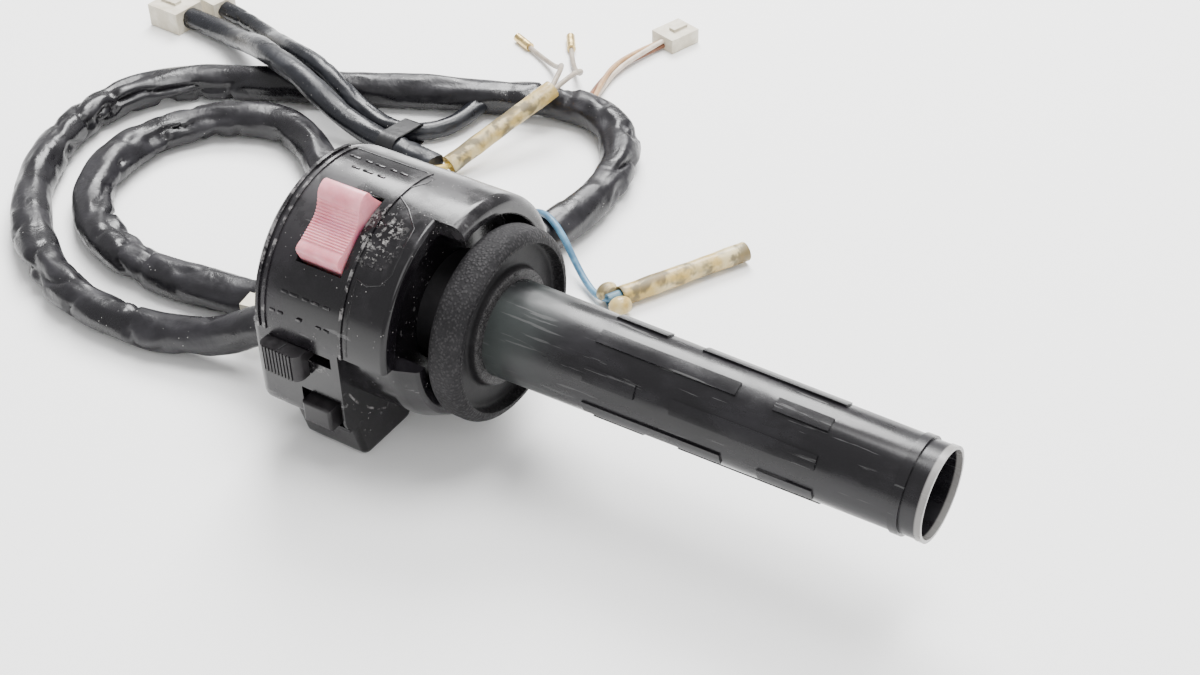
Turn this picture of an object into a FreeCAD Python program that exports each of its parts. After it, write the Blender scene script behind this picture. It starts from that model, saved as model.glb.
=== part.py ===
import FreeCAD, Part
import math
import os

import Sketcher
from FreeCAD import Placement, Rotation, Vector

# Motorcycle throttle grip with its right-hand switch housing, in millimetres.
# Every piece is drawn about the handlebar's axis: X runs along the bar, out of the grip's free
# end, -Y faces the rider and Z is up. X = 0 is the flange ring's outer face. The finished
# assembly is then lifted so that it lies on the plane Z = 0 with its middle over the origin.

SIZES = {
    # handlebar, throttle tube and flange ring
    "barRadius": (11.1, "7/8 inch handlebar"),
    "tubeClearance": (0.3, "tube bore over the bar"),
    "tubeLength": (121.6, "flange ring to the open end"),
    "tubeWall": (2.1, "at the flange ring"),
    "tubeTipWall": (0.9, "at the open end"),
    "collarFromEnd": (8.2, "inner edge of the end collar"),
    "collarWidth": (2.4, ""),
    "collarRise": (0.45, ""),
    "neckDrop": (0.25, "neck below the tube's skin"),
    "rimWidth": (1.8, "worn rim at the open end"),
    "ribWidth": (4.0, "low pads that key the rubber grip"),
    "ribRise": (0.55, ""),
    "ribStart": (29.2, ""),
    "ribShort": (14.8, ""),
    "ribLong": (39.6, ""),
    "ribGap": (10.2, ""),
    "ribRows": (4.0, "rows of each kind"),
    "ribFirstAngle": (27.0, "first short-then-long row above the front"),
    "seatFit": (0.02, "flange ring on the tube"),
    "flangeRise": (13.5, "ring above the tube"),
    "flangeWidth": (10.0, ""),
    "flangeCrown": (3.4, ""),
    "flangeLip": (3.2, ""),
    "flangeRecess": (3.7, ""),
    "hubRise": (2.7, "ring's hub above the tube"),
    "hubSetBack": (1.0, ""),
    "neckWall": (1.9, "flange's sleeve into the housing"),
    "drumWidth": (8.0, "cable drum inside the housing"),
    "drumRise": (6.1, "drum above the tube"),
    "grooveRise": (3.3, "drum's groove above the tube"),
    "grooveWidth": (3.4, ""),
    "drumTail": (1.6, "tube behind the drum"),
    "runningGap": (0.4, "between turning and fixed pieces"),
    # housing
    "caseRadius": (33.5, ""),
    "caseLeft": (63.0, "inner end of the housing, left of the flange ring"),
    "caseEdge": (5.5, "rounding at the inner end"),
    "caseCorner": (13.0, "rounding along the housing's rear underside"),
    "mouthBack": (17.4, "cut-back mouth, left of the flange ring"),
    "mouthWall": (2.6, ""),
    "mouthDepth": (3.0, "recess in the mouth"),
    "hoodBack": (9.6, "hood over the flange ring's rear edge"),
    "hoodGap": (1.4, "round the flange ring"),
    "lowerLip": (10.8, "lower half's end, left of the flange ring"),
    "hoodStart": (78.0, "hood's front edge, up from the front"),
    "wall": (2.6, ""),
    "clampWidth": (6.4, "saddle that grips the bar"),
    "clampFit": (0.05, ""),
    "saddleWall": (4.4, ""),
    "blockDepth": (27.5, "switch box below the bar"),
    "starterLeft": (54.0, ""),
    "starterRight": (33.0, ""),
    "starterDepth": (40.0, ""),
    "starterRear": (6.0, "starter block's rear face, in front of the bar's axis"),
    "drumCaseRadius": (30.5, ""),
    # raised border of the label panel
    "borderWidth": (0.9, ""),
    "borderRise": (0.45, ""),
    "borderInset": (3.8, "outer line, in from the housing's inner end"),
    "borderPitch": (2.2, "between the two lines of the left side"),
    "borderRight": (31.6, ""),
    "borderTop": (108.0, "border's upper corner, up from the front"),
    # engine-stop rocker
    "rockerMiddle": (41.8, ""),
    "rockerWidth": (13.8, ""),
    "rockerAngle": (58.5, ""),
    "rockerSunk": (6.0, "pivot below the housing's skin"),
    "rockerRadius": (11.5, ""),
    "rockerGap": (1.0, "round the rocker in its window"),
    "rockerSideGap": (0.5, ""),
    "pinRadius": (1.5, ""),
    "pinFit": (0.05, ""),
    "lugWidth": (2.2, ""),
    "lugDrop": (10.0, "lugs below the pivot, where the contact board is fixed"),
    "noseRadius": (6.6, ""),
    "noseWidth": (5.0, ""),
    # lighting slider
    "sliderLeft": (56.4, ""),
    "sliderWidth": (13.4, ""),
    "sliderTop": (1.8, ""),
    "sliderHeight": (8.2, ""),
    "sliderReach": (5.0, "head in front of the housing"),
    "slotTop": (2.0, ""),
    "slotHeight": (3.4, ""),
    "slideGap": (0.3, ""),
    "sliderFoot": (2.0, "plate inside the wall"),
    # start button
    "buttonMiddle": (40.5, ""),
    "buttonDrop": (21.6, ""),
    "buttonWidth": (9.5, ""),
    "buttonHeight": (7.0, ""),
    "buttonReach": (2.9, "head in front of the housing"),
    "buttonGap": (0.3, "round the button in its hole"),
    "buttonTravel": (2.6, ""),
    "windowSide": (1.85, "recess beyond the button, each side"),
    "windowRise": (2.1, "recess above and below the button"),
    "windowDepth": (3.2, "recess round the button"),
    "windowFloor": (3.0, "wall behind the recess"),
    "springRadius": (2.6, ""),
    "springWire": (0.6, ""),
    "springTurns": (5.0, ""),
    "springLength": (7.3, "between the contact and its board at rest"),
    # boards, contacts and fasteners
    "boardThick": (1.6, ""),
    "boardMargin": (2.2, "light board beyond the slider's foot"),
    "boardGap": (0.6, "board clear of the housing's wall"),
    "startBoardWidth": (12.8, ""),
    "lightPostDrop": (13.0, "posts below the bar's axis"),
    "startPostDrop": (9.2, "posts below the start button's axis"),
    "terminalWidth": (4.4, ""),
    "terminalPitch": (6.6, ""),
    "terminalThick": (0.9, ""),
    "postRadius": (1.9, ""),
    "postInset": (2.2, "post's axis in from the board's edge"),
    "smallScrewRadius": (1.1, ""),
    "smallScrewHead": (2.0, ""),
    "contactThick": (0.8, ""),
    "screwRadius": (2.5, ""),
    "screwHead": (4.0, ""),
    "screwHeadDepth": (3.2, ""),
    "screwLength": (27.0, ""),
    "screwSeat": (13.0, "underside of the head, below the bar's axis"),
    "bossWall": (1.0, "round the screw's head"),
    "frontScrewInset": (8.6, "in from the housing's inner end"),
    "frontScrewY": (17.6, ""),
    "rearScrewX": (46.0, ""),
    "rearScrewY": (24.0, ""),
    # throttle cable and wiring
    "cableHoleRadius": (4.0, "threaded hole for the cable's guide"),
    "cableBossRadius": (7.0, ""),
    "cableBossReach": (34.0, ""),
    "loomRadius": (6.0, ""),
    "loomExitY": (8.0, ""),
    "loomExitZ": (18.6, ""),
    "grommetWall": (1.6, ""),
    "grommetReach": (5.0, ""),
    "grommetTip": (0.7, "grommet's wall at its tapered end"),
    "sideRadius": (4.2, "thicker sleeve"),
    "thinRadius": (3.2, "thinner sleeve"),
    "wireRadius": (1.1, "yellow and blue wires"),
    "greyRadius": (0.9, "grey wires"),
    "brownRadius": (2.0, "bundle of brown wires"),
    "clearRadius": (3.4, "clear connector sleeves"),
    "clearWall": (0.6, ""),
    "bootRadius": (2.4, ""),
    "tapeThick": (0.5, ""),
}

document = FreeCAD.newDocument("ThrottleGrip")
sheet = document.addObject("Spreadsheet::Sheet", "Sizes")


class Size:
    """A number together with the sheet formula that gives it."""

    def __init__(self, number, formula):
        self.number = float(number)
        self.formula = formula

    def join(self, other, sign, flip=False):
        other = asSize(other)
        first, second = (other, self) if flip else (self, other)
        results = {
            "+": first.number + second.number,
            "-": first.number - second.number,
            "*": first.number * second.number,
            "/": first.number / second.number if second.number else 0.0,
        }
        return Size(results[sign], f"({first.formula} {sign} {second.formula})")

    def __add__(self, other):
        return self.join(other, "+")

    def __radd__(self, other):
        return self.join(other, "+", True)

    def __sub__(self, other):
        return self.join(other, "-")

    def __rsub__(self, other):
        return self.join(other, "-", True)

    def __mul__(self, other):
        return self.join(other, "*")

    def __rmul__(self, other):
        return self.join(other, "*", True)

    def __truediv__(self, other):
        return self.join(other, "/")

    def __neg__(self):
        return 0.0 - self


class Sizes:
    """The sheet's values, read by their aliases."""

    def __getattr__(self, alias):
        return Size(sheet.get(alias), "Sizes." + alias)


def asSize(value):
    return value if isinstance(value, Size) else Size(value, repr(float(value)))


def cosine(angle):
    angle = asSize(angle)
    return Size(math.cos(math.radians(angle.number)), f"cos({angle.formula})")


def sine(angle):
    angle = asSize(angle)
    return Size(math.sin(math.radians(angle.number)), f"sin({angle.formula})")


def root(value):
    return Size(math.sqrt(value.number), f"sqrt({value.formula})")


def fillSheet():
    for row, (alias, (number, note)) in enumerate(SIZES.items(), 1):
        sheet.set(f"A{row}", alias)
        sheet.set(f"B{row}", str(number))
        sheet.setAlias(f"B{row}", alias)
        sheet.set(f"C{row}", note)
    document.recompute()


fillSheet()
size = Sizes()


# ---------------------------------------------------------------- drawing helpers

def bind(thing, **values):
    """Sets properties, each bound to the sheet formula of its size."""
    for name, value in values.items():
        path = name.replace("__", ".")
        if isinstance(value, Size):
            thing.setExpression(path, value.formula)
        else:
            setattr(thing, name, value)


def newBody(label):
    body = document.addObject("PartDesign::Body", label)
    body.Label = label
    return body


def plane(body, role):
    return next(f for f in body.Origin.OriginFeatures if f.Role == role)


def newSketch(body, role, lift=0.0, turn=0.0):
    """A sketch on one of the body's planes, lifted off it and turned about its own X axis."""
    sketch = body.newObject("Sketcher::SketchObject", body.Name + "Sketch")
    sketch.AttachmentSupport = [(plane(body, role), "")]
    sketch.MapMode = "FlatFace"
    lift, turn = asSize(lift), asSize(turn)
    sketch.AttachmentOffset = Placement(
        Vector(0, 0, lift.number), Rotation(Vector(1, 0, 0), turn.number)
    )
    sketch.setExpression("AttachmentOffset.Base.z", lift.formula)
    if "Sizes." in turn.formula:
        sketch.setExpression("AttachmentOffset.Rotation.Angle", turn.formula)
    return sketch


def constrain(sketch, size, *constraint):
    """A constraint whose value is bound to a size."""
    size = asSize(size)
    index = sketch.addConstraint(Sketcher.Constraint(*constraint, size.number))
    if "Sizes." in size.formula:
        sketch.setExpression(f"Constraints[{index}]", size.formula)


def pinPoint(sketch, geometry, point, x, y):
    constrain(sketch, x, "DistanceX", -1, 1, geometry, point)
    constrain(sketch, y, "DistanceY", -1, 1, geometry, point)


def roundedCorner(before, corner, after, radius):
    """Tangent points and centre of an arc in a corner, and whether the path turns left there."""
    into = (corner - before).normalize()
    out = (after - corner).normalize()
    turn = into.getAngle(out)
    reach = radius * math.tan(turn / 2)
    start, end = corner - into * reach, corner + out * reach
    left = into.cross(out).z > 0
    side = Vector(-into.y, into.x, 0) * (1 if left else -1)
    return start, end, start + side * radius, left


def drawOutline(sketch, corners):
    """Draws a closed outline through corners (x, y) or (x, y, radius of the rounding)."""
    places = [Vector(asSize(c[0]).number, asSize(c[1]).number, 0) for c in corners]
    count = len(corners)
    joints = []
    for i, corner in enumerate(corners):
        if len(corner) == 3:
            radius = asSize(corner[2]).number
            joints.append(roundedCorner(places[i - 1], places[i], places[(i + 1) % count], radius))
        else:
            joints.append((places[i], places[i], None, None))
    lines = [
        sketch.addGeometry(Part.LineSegment(joints[i][1], joints[(i + 1) % count][0]))
        for i in range(count)
    ]
    for i, corner in enumerate(corners):
        into, out = lines[i - 1], lines[i]
        start, end, centre, left = joints[i]
        if centre is None:
            sketch.addConstraint(Sketcher.Constraint("Coincident", into, 2, out, 1))
            pinPoint(sketch, out, 1, corner[0], corner[1])
            continue
        first, last = (start, end) if left else (end, start)
        angles = [math.atan2(p.y - centre.y, p.x - centre.x) for p in (first, last)]
        if angles[1] < angles[0]:
            angles[1] += 2 * math.pi
        circle = Part.Circle(centre, Vector(0, 0, 1), asSize(corner[2]).number)
        arc = sketch.addGeometry(Part.ArcOfCircle(circle, *angles))
        startPoint, endPoint = (1, 2) if left else (2, 1)
        sketch.addConstraint(Sketcher.Constraint("Tangent", into, 2, arc, startPoint))
        sketch.addConstraint(Sketcher.Constraint("Tangent", arc, endPoint, out, 1))
        constrain(sketch, corner[2], "Radius", arc)
        point = sketch.addGeometry(Part.Point(places[i]), True)
        sketch.addConstraint(Sketcher.Constraint("PointOnObject", point, 1, into))
        sketch.addConstraint(Sketcher.Constraint("PointOnObject", point, 1, out))
        pinPoint(sketch, point, 1, corner[0], corner[1])
    return sketch


def drawCircle(sketch, x, y, radius):
    x, y, radius = asSize(x), asSize(y), asSize(radius)
    circle = Part.Circle(Vector(x.number, y.number, 0), Vector(0, 0, 1), radius.number)
    index = sketch.addGeometry(circle)
    constrain(sketch, radius, "Radius", index)
    pinPoint(sketch, index, 3, x, y)
    return sketch


def box(corner, extent):
    """Corners of an upright rectangle from its lowest corner and its two sides."""
    (x, y), (across, up) = corner, extent
    return [(x, y), (x + across, y), (x + across, y + up), (x, y + up)]


def feature(body, kind, sketch, label="", **values):
    """A feature made from a sketch; it must change the body's volume."""
    document.recompute()
    before = body.Shape.Volume if body.Tip and not body.Shape.isNull() else 0.0
    made = body.newObject("PartDesign::" + kind, body.Name + (label or kind))
    made.Profile = sketch
    bind(made, **values)
    document.recompute()
    adds = kind in ("Pad", "Revolution")
    change = body.Shape.Volume - before
    if change == 0 or (change > 0) != adds:
        raise ValueError(f"{made.Name} changed the volume by {change:.2f}")
    return made


def revolve(body, sketch, kind="Revolution", angle=360.0, **values):
    """A feature turned about the bar's axis."""
    return feature(
        body, kind, sketch, ReferenceAxis=(sketch, ["H_Axis"]), Angle=angle, **values
    )


def extrude(body, role, start, length, corners, kind="Pad", circle=None):
    """A pad or pocket of an outline, running from start along the plane's positive axis."""
    sketch = newSketch(body, role, start)
    if circle:
        drawCircle(sketch, *circle)
    else:
        drawOutline(sketch, corners)
    return feature(body, kind, sketch, Length=length, Reversed=kind == "Pocket")


def roundEdges(body, radius, wanted):
    """Fillets the body's edges that the function wanted picks."""
    document.recompute()
    tip = body.Tip
    names = [f"Edge{i}" for i, edge in enumerate(body.Shape.Edges, 1) if wanted(edge)]
    if not names:
        raise ValueError(body.Name + " has no such edge")
    made = body.newObject("PartDesign::Fillet", body.Name + "Fillet")
    made.Base = (tip, names)
    bind(made, Radius=radius)
    document.recompute()
    return made


def middle(edge):
    return edge.BoundBox.Center


def along(edge, axis):
    """Whether an edge is straight and parallel to an axis."""
    if edge.Curve.TypeId != "Part::GeomLine":
        return False
    return abs(edge.Curve.Direction.dot(axis)) > 0.999


nodes = {}

# the part's origin: under the middle of its box, on the surface that the starter block stands on
originShift = (
    (size.caseLeft + size.grommetReach - size.tubeLength) / 2,
    (size.caseRadius + size.sliderReach - size.cableBossReach) / 2,
    size.starterDepth,
)


def keep(thing, at=(0.0, 0.0, 0.0), turn=0.0, axis=Vector(1, 0, 0)):
    """Registers a finished sub-part and sets its place, from the bar's axis to the part's origin."""
    turn = asSize(turn)
    thing.Placement = Placement(Vector(0, 0, 0), Rotation(axis, turn.number))
    if "Sizes." in turn.formula:
        thing.setExpression("Placement.Rotation.Angle", turn.formula)
    return shift(thing, at)


def shift(thing, at):
    """Registers a sub-part that is already turned, and moves it from the bar's axis."""
    for letter, own, lift in zip("xyz", at, originShift):
        thing.setExpression("Placement.Base." + letter, (own + lift).formula)
    nodes[thing.Label] = thing
    return thing


# ---------------------------------------------------------------- throttle tube and ring

tubeBore = size.barRadius + size.tubeClearance
tubeRoot = tubeBore + size.tubeWall
tubeTip = tubeBore + size.tubeTipWall
flangeRadius = tubeRoot + size.flangeRise
hubRadius = tubeRoot + size.hubRise
neckRadius = tubeRoot + size.neckWall
drumRadius = tubeRoot + size.drumRise
grooveRadius = tubeRoot + size.grooveRise
drumRight = -(size.mouthBack + size.mouthDepth + size.mouthWall + size.runningGap)
drumLeft = drumRight - size.drumWidth
collarStart = size.tubeLength - size.collarFromEnd


def throttleTube():
    body = newBody("throttle_tube")
    tail = drumLeft - size.drumTail
    groove = (size.drumWidth - size.grooveWidth) / 2
    neck = tubeTip - size.neckDrop
    rim = size.tubeLength - size.rimWidth
    collar = collarStart + size.collarWidth
    sketch = drawOutline(newSketch(body, "XY_Plane"), [
        (tail, tubeBore),
        (size.tubeLength, tubeBore),
        (size.tubeLength, tubeTip),
        (rim, tubeTip),
        (rim, neck),
        (collar, neck),
        (collar, tubeTip + size.collarRise),
        (collarStart, tubeTip + size.collarRise),
        (collarStart, tubeTip),
        (0.0, tubeRoot),
        (drumRight, tubeRoot),
        (drumRight, drumRadius),
        (drumRight - groove, drumRadius),
        (drumRight - groove, grooveRadius),
        (drumLeft + groove, grooveRadius),
        (drumLeft + groove, drumRadius),
        (drumLeft, drumRadius),
        (drumLeft, tubeRoot),
        (tail, tubeRoot),
    ])
    revolve(body, sketch)
    ribRows(body, size.ribFirstAngle, size.ribShort, size.ribLong)
    ribRows(body, size.ribFirstAngle + 45.0, size.ribLong, size.ribShort)
    nippleHole(body)
    return keep(body)


def ribRows(body, angle, first, second):
    """Two raised pads in a row along the tube, repeated round it."""
    slope = (tubeRoot - tubeTip) / collarStart
    sketch = newSketch(body, "XY_Plane", 0.0, 180.0 - angle)
    ends = [(size.ribStart, size.ribStart + first)]
    ends.append((ends[0][1] + size.ribGap, ends[0][1] + size.ribGap + second))
    low = (tubeBore + tubeTip) / 2
    for start, end in ends:
        rise = tubeRoot + size.ribRise
        drawOutline(sketch, [
            (start, low), (end, low), (end, rise - end * slope), (start, rise - start * slope),
        ])
    spread = size.ribWidth / tubeRoot * (180.0 / math.pi)
    made = revolve(body, sketch, angle=spread, Midplane=True)
    pattern = body.newObject("PartDesign::PolarPattern", body.Name + "Rows")
    pattern.Originals = [made]
    pattern.Axis = (plane(body, "X_Axis"), [""])
    pattern.Angle = 360.0
    bind(pattern, Occurrences=size.ribRows)
    body.Tip = pattern
    document.recompute()


def nippleHole(body):
    """Hole in the drum's inner wall where the cable's end fitting drops in."""
    radius = (drumRadius - grooveRadius) * 0.75
    place = (0.0, grooveRadius, radius)
    extrude(body, "YZ_Plane", drumLeft - 0.1, size.drumWidth / 2, None, "Pocket", place)


def flangeRing():
    body = newBody("flange_ring")
    bore = tubeRoot + size.seatFit
    back = -size.flangeWidth
    inner = flangeRadius - size.flangeLip
    sketch = drawOutline(newSketch(body, "XY_Plane"), [
        (drumRight, bore),
        (-size.hubSetBack, bore),
        (-size.hubSetBack, hubRadius, 0.8),
        (-size.flangeRecess, hubRadius + 0.5, 0.9),
        (-size.flangeRecess, inner - 0.4, 1.2),
        (0.0, inner, 0.7),
        (0.0, flangeRadius, size.flangeCrown),
        (back, flangeRadius, size.flangeCrown),
        (back, neckRadius + 1.2),
        (back + 0.8, neckRadius),
        (drumRight, neckRadius),
    ])
    revolve(body, sketch)
    return keep(body)



# ---------------------------------------------------------------- housing

clampRadius = size.barRadius + size.clampFit
left = -size.caseLeft
inside = size.caseRadius - size.wall
neckHole = neckRadius + size.runningGap
mouth = -size.mouthBack
mouthFace = mouth - size.mouthDepth
drumWall = mouthFace - size.mouthWall
mouthRadius = flangeRadius + size.hoodGap
rockerPivot = size.caseRadius - size.rockerSunk
pivotY = -rockerPivot * cosine(size.rockerAngle)
pivotZ = rockerPivot * sine(size.rockerAngle)
headHole = size.screwHead + 0.3
screwPlaces = [
    (left + size.frontScrewInset, -size.frontScrewY),
    (-size.rearScrewX, size.rearScrewY),
]


def polar(angle, out, up=0.0):
    """A point out from the bar's axis at an angle above the front, and up along the curve."""
    out, up = asSize(out), asSize(up)
    y = up * sine(angle) - out * cosine(angle)
    z = out * sine(angle) + up * cosine(angle)
    return y, z


def upperCase():
    body = newBody("upper_case")
    saddle = clampRadius + size.saddleWall
    sketch = drawOutline(newSketch(body, "XY_Plane"), [
        (left, clampRadius),
        (left, size.caseRadius, size.caseEdge),
        (mouth, size.caseRadius, 1.4),
        (mouth, mouthRadius, 0.6),
        (mouthFace, mouthRadius),
        (mouthFace, neckHole),
        (drumWall, neckHole),
        (drumWall, inside, 2.0),
        (left + size.wall, inside, size.caseEdge - size.wall),
        (left + size.wall, saddle),
        (left + size.clampWidth, saddle),
        (left + size.clampWidth, clampRadius),
    ])
    revolve(body, sketch, angle=180.0)
    hood = drawOutline(newSketch(body, "XY_Plane"), [
        (mouthFace, mouthRadius),
        (-size.hoodBack, mouthRadius, 0.7),
        (-size.hoodBack, size.caseRadius, 3.4),
        (mouthFace, size.caseRadius),
    ])
    revolve(body, hood, angle=180.0 - size.hoodStart)
    for x, y in screwPlaces:
        radius = size.screwRadius + size.bossWall + 0.3
        far = (y if y.number > 0 else -y) + radius
        roof = root(inside * inside - far * far) + 1.5
        extrude(body, "XY_Plane", 0.0, roof, None, circle=(x, y, radius))
        extrude(
            body, "XY_Plane", 0.0, size.screwLength - size.screwSeat + 0.5, None, "Pocket",
            (x, y, size.screwRadius),
        )
    pivotLugs(body)
    rockerWindow(body)
    panelBorder(body)
    return keep(body)


def lugStarts():
    """Left faces of the two lugs that hold the rocker's pin."""
    half = size.rockerWidth / 2 + size.rockerSideGap
    return [-size.rockerMiddle - half - size.lugWidth, -size.rockerMiddle + half]


def pivotLugs(body):
    low, high = rockerPivot - size.lugDrop, inside + 0.6
    corners = [polar(size.rockerAngle, *p) for p in (
        (low, -3.0), (low, 3.0), (high, 3.0), (high, -3.0),
    )]
    for start in lugStarts():
        extrude(body, "YZ_Plane", start, size.lugWidth, corners)
        extrude(
            body, "YZ_Plane", start, size.lugWidth, None, "Pocket",
            (pivotY, pivotZ, size.pinRadius),
        )


def rockerWindow(body):
    width = size.rockerWidth + 2 * size.rockerSideGap
    start = -size.rockerMiddle - width / 2
    radius = size.rockerRadius + size.rockerGap
    extrude(body, "YZ_Plane", start, width, None, "Pocket", (pivotY, pivotZ, radius))


def panelBorder(body):
    """Fine raised lines round the label panel, down its two sides."""
    low = size.caseRadius - 0.4
    top = size.caseRadius + size.borderRise
    outer = left + size.borderInset
    for x in (outer, outer + size.borderPitch, -size.borderRight):
        sketch = newSketch(body, "XY_Plane", 0.0, 180.0 - size.borderTop)
        drawOutline(sketch, box((x - size.borderWidth / 2, low), (size.borderWidth, top - low)))
        revolve(body, sketch, angle=size.borderTop)


def lowerCase():
    body = newBody("lower_case")
    switchBox(body)
    drumBulge(body)
    hollowBox(body)
    for x, y in screwPlaces:
        screwBoss(body, x, y)
    startWindow(body)
    cableBoss(body)
    posts(body)
    barBore(body)
    holes(body)
    return keep(body)


def switchBox(body):
    """Box below the bar, and the deeper starter block at its front."""
    front, rear = -size.caseRadius, size.caseRadius
    right = -size.starterRight
    extrude(body, "YZ_Plane", left, right - left, [
        (front, 0.0), (front, -size.blockDepth, 4.5), (rear, -size.blockDepth, size.caseCorner), (rear, 0.0),
    ])
    extrude(body, "YZ_Plane", -size.starterLeft, size.starterLeft + right, starterOutline(0.0))
    roundEdges(body, 3.5, lambda edge: (
        abs(middle(edge).x - left.number) < 0.01 and middle(edge).z < -1.0
    ))
    roundEdges(body, 1.6, lambda edge: (
        middle(edge).z < -29.0 and edge.BoundBox.XLength < 0.01 and edge.BoundBox.ZLength > 0.0
        or along(edge, Vector(0, 1, 0)) and middle(edge).z < -39.0
    ))


def starterOutline(wall):
    """The starter block's section, or the hollow inside it a wall's thickness smaller."""
    front = -size.caseRadius + wall
    floor = -size.starterDepth + wall
    return [
        (front, -1.0 - asSize(wall)),
        (front, -13.0),
        (front + 2.4, -25.0),
        (front + 6.4, floor, 3.0),
        (-size.starterRear - wall, floor, 3.0),
        (-size.starterRear - wall, -size.blockDepth / 2),
    ]


def drumBulge(body):
    """Round lower housing of the cable drum, narrowing towards the flange ring."""
    start = -size.starterRight - size.wall
    lip = -size.lowerLip
    sketch = drawOutline(newSketch(body, "XY_Plane"), [
        (start, 5.0), (start, size.drumCaseRadius), (mouth, size.drumCaseRadius, 8.0),
        (lip, mouthRadius - 0.6, 1.6), (lip, 5.0),
    ])
    revolve(body, sketch, angle=180.0, Reversed=True)


def hollowBox(body):
    wall, right = size.wall, -size.starterRight
    front = -size.caseRadius + wall
    floor = -size.blockDepth + wall
    start = left + wall
    extrude(body, "YZ_Plane", start, right - wall - start, [
        (front, 0.0), (front, floor, 2.0), (-front, floor, size.caseCorner - wall), (-front, 0.0),
    ], "Pocket")
    extrude(
        body, "YZ_Plane", -size.starterLeft + wall, size.starterLeft + right - 2 * wall,
        starterOutline(wall), "Pocket",
    )
    drumHollow = size.drumCaseRadius - wall
    sketch = drawOutline(newSketch(body, "XY_Plane"), [
        (right - wall - 0.5, 0.0), (drumWall, 0.0), (drumWall, drumHollow, 2.0),
        (right - wall - 0.5, drumHollow),
    ])
    revolve(body, sketch, "Groove", 180.0, Reversed=True)
    lip = drawOutline(newSketch(body, "XY_Plane"), box(
        (mouthFace, 0.0), (-mouthFace, mouthRadius - 3.4)
    ))
    revolve(body, lip, "Groove", 180.0, Reversed=True)
    saddle = drawOutline(newSketch(body, "XY_Plane"), box(
        (start - 0.5, 4.0), (size.clampWidth - wall + 0.5, clampRadius + size.saddleWall - 4.0)
    ))
    revolve(body, saddle, angle=180.0, Reversed=True)


def screwBoss(body, x, y):
    """Boss that carries a case screw's head, from the parting face to the housing's floor."""
    radius = headHole + size.bossWall
    floor = -size.blockDepth
    extrude(body, "XY_Plane", floor + 0.5, size.blockDepth - 0.5, None, circle=(x, y, radius))
    extrude(
        body, "XY_Plane", floor - 0.5, size.blockDepth + 0.5 - size.screwSeat, None, "Pocket",
        (x, y, headHole),
    )
    extrude(body, "XY_Plane", -size.screwSeat, size.screwSeat, None, "Pocket",
            (x, y, size.screwRadius + 0.2))


buttonZ = -size.buttonDrop
buttonX = -size.buttonMiddle
buttonFront = size.caseRadius + size.buttonReach
windowFace = size.caseRadius - size.windowDepth
windowBack = windowFace - size.windowFloor


def startWindow(body):
    """Recess and hole for the start button, through a thickened wall."""
    across = size.buttonWidth + 2 * size.windowSide
    up = size.buttonHeight + 2 * size.windowRise
    extrude(body, "XZ_Plane", windowBack, inside + 0.6 - windowBack, box(
        (buttonX - across / 2 - 1.6, buttonZ - up / 2 - 1.0), (across + 1.6, up + 2.0)
    ))
    extrude(body, "XZ_Plane", windowFace, 12.0, box(
        (buttonX - across / 2, buttonZ - up / 2), (across, up)
    ), "Pocket")
    hole = (size.buttonWidth + 2 * size.buttonGap, size.buttonHeight + 2 * size.buttonGap)
    extrude(body, "XZ_Plane", windowBack - 1.0, 12.0, box(
        (buttonX - hole[0] / 2, buttonZ - hole[1] / 2), hole
    ), "Pocket")


grooveX = (drumLeft + drumRight) / 2


def cableBoss(body):
    """Boss at the rear for the throttle cable's guide, in line with the drum's groove."""
    reach = size.cableBossReach
    place = (grooveX, -grooveRadius)
    extrude(body, "XZ_Plane", -reach, 12.0, None, circle=(*place, size.cableBossRadius))
    extrude(body, "XZ_Plane", -reach - 1.0, reach / 2 + 3.0, None, "Pocket",
            (*place, size.cableHoleRadius))


def barBore(body):
    """Half bores for the bar and for the flange ring's sleeve."""
    bar = drawOutline(newSketch(body, "XY_Plane"), box(
        (left - 1.0, 0.0), (size.caseLeft - size.starterRight + 1.0, clampRadius)
    ))
    revolve(body, bar, "Groove", 180.0, Reversed=True)
    neck = drawOutline(newSketch(body, "XY_Plane"), box(
        (drumWall - 1.0, 0.0), (size.mouthWall + 2.0, neckHole)
    ))
    revolve(body, neck, "Groove", 180.0, Reversed=True)


def holes(body):
    """The slider's slot and the loom's hole."""
    length = size.sliderWidth + sliderTravel + 2 * size.slideGap
    extrude(body, "XZ_Plane", size.caseRadius - size.wall - 1.0, size.wall + 2.0, box(
        (-size.sliderLeft - size.slideGap, -size.slotTop - size.slotHeight),
        (length, size.slotHeight),
    ), "Pocket")
    radius = size.loomRadius + size.grommetWall
    extrude(body, "YZ_Plane", left - 1.0, size.wall + 2.0, None, "Pocket",
            (-size.loomExitY, -size.loomExitZ, radius))



# ---------------------------------------------------------------- plain pieces

def block(label, corner, extent, at=(0.0, 0.0, 0.0), turn=0.0):
    """A rectangular piece, drawn on the XY plane and padded up."""
    body = newBody(label)
    (x, y, z), (across, deep, high) = corner, extent
    extrude(body, "XY_Plane", z, high, box((x, y), (across, deep)))
    return keep(body, at, turn)


def boxGroup(label, boxes, at=(0.0, 0.0, 0.0), turn=0.0):
    """Several separate rectangular pieces kept as one group."""
    solids = []
    for corner, extent in boxes:
        solid = document.addObject("Part::Box", label + "Piece")
        for name, value in zip(("Length", "Width", "Height"), extent):
            bind(solid, **{name: value})
        for letter, value in zip("xyz", corner):
            solid.setExpression("Placement.Base." + letter, asSize(value).formula)
        solids.append(solid)
    return keep(gather(label, solids), at, turn)


def gather(label, solids):
    group = document.addObject("Part::Compound", label)
    group.Label = label
    group.Links = solids
    document.recompute()
    return group


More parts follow.
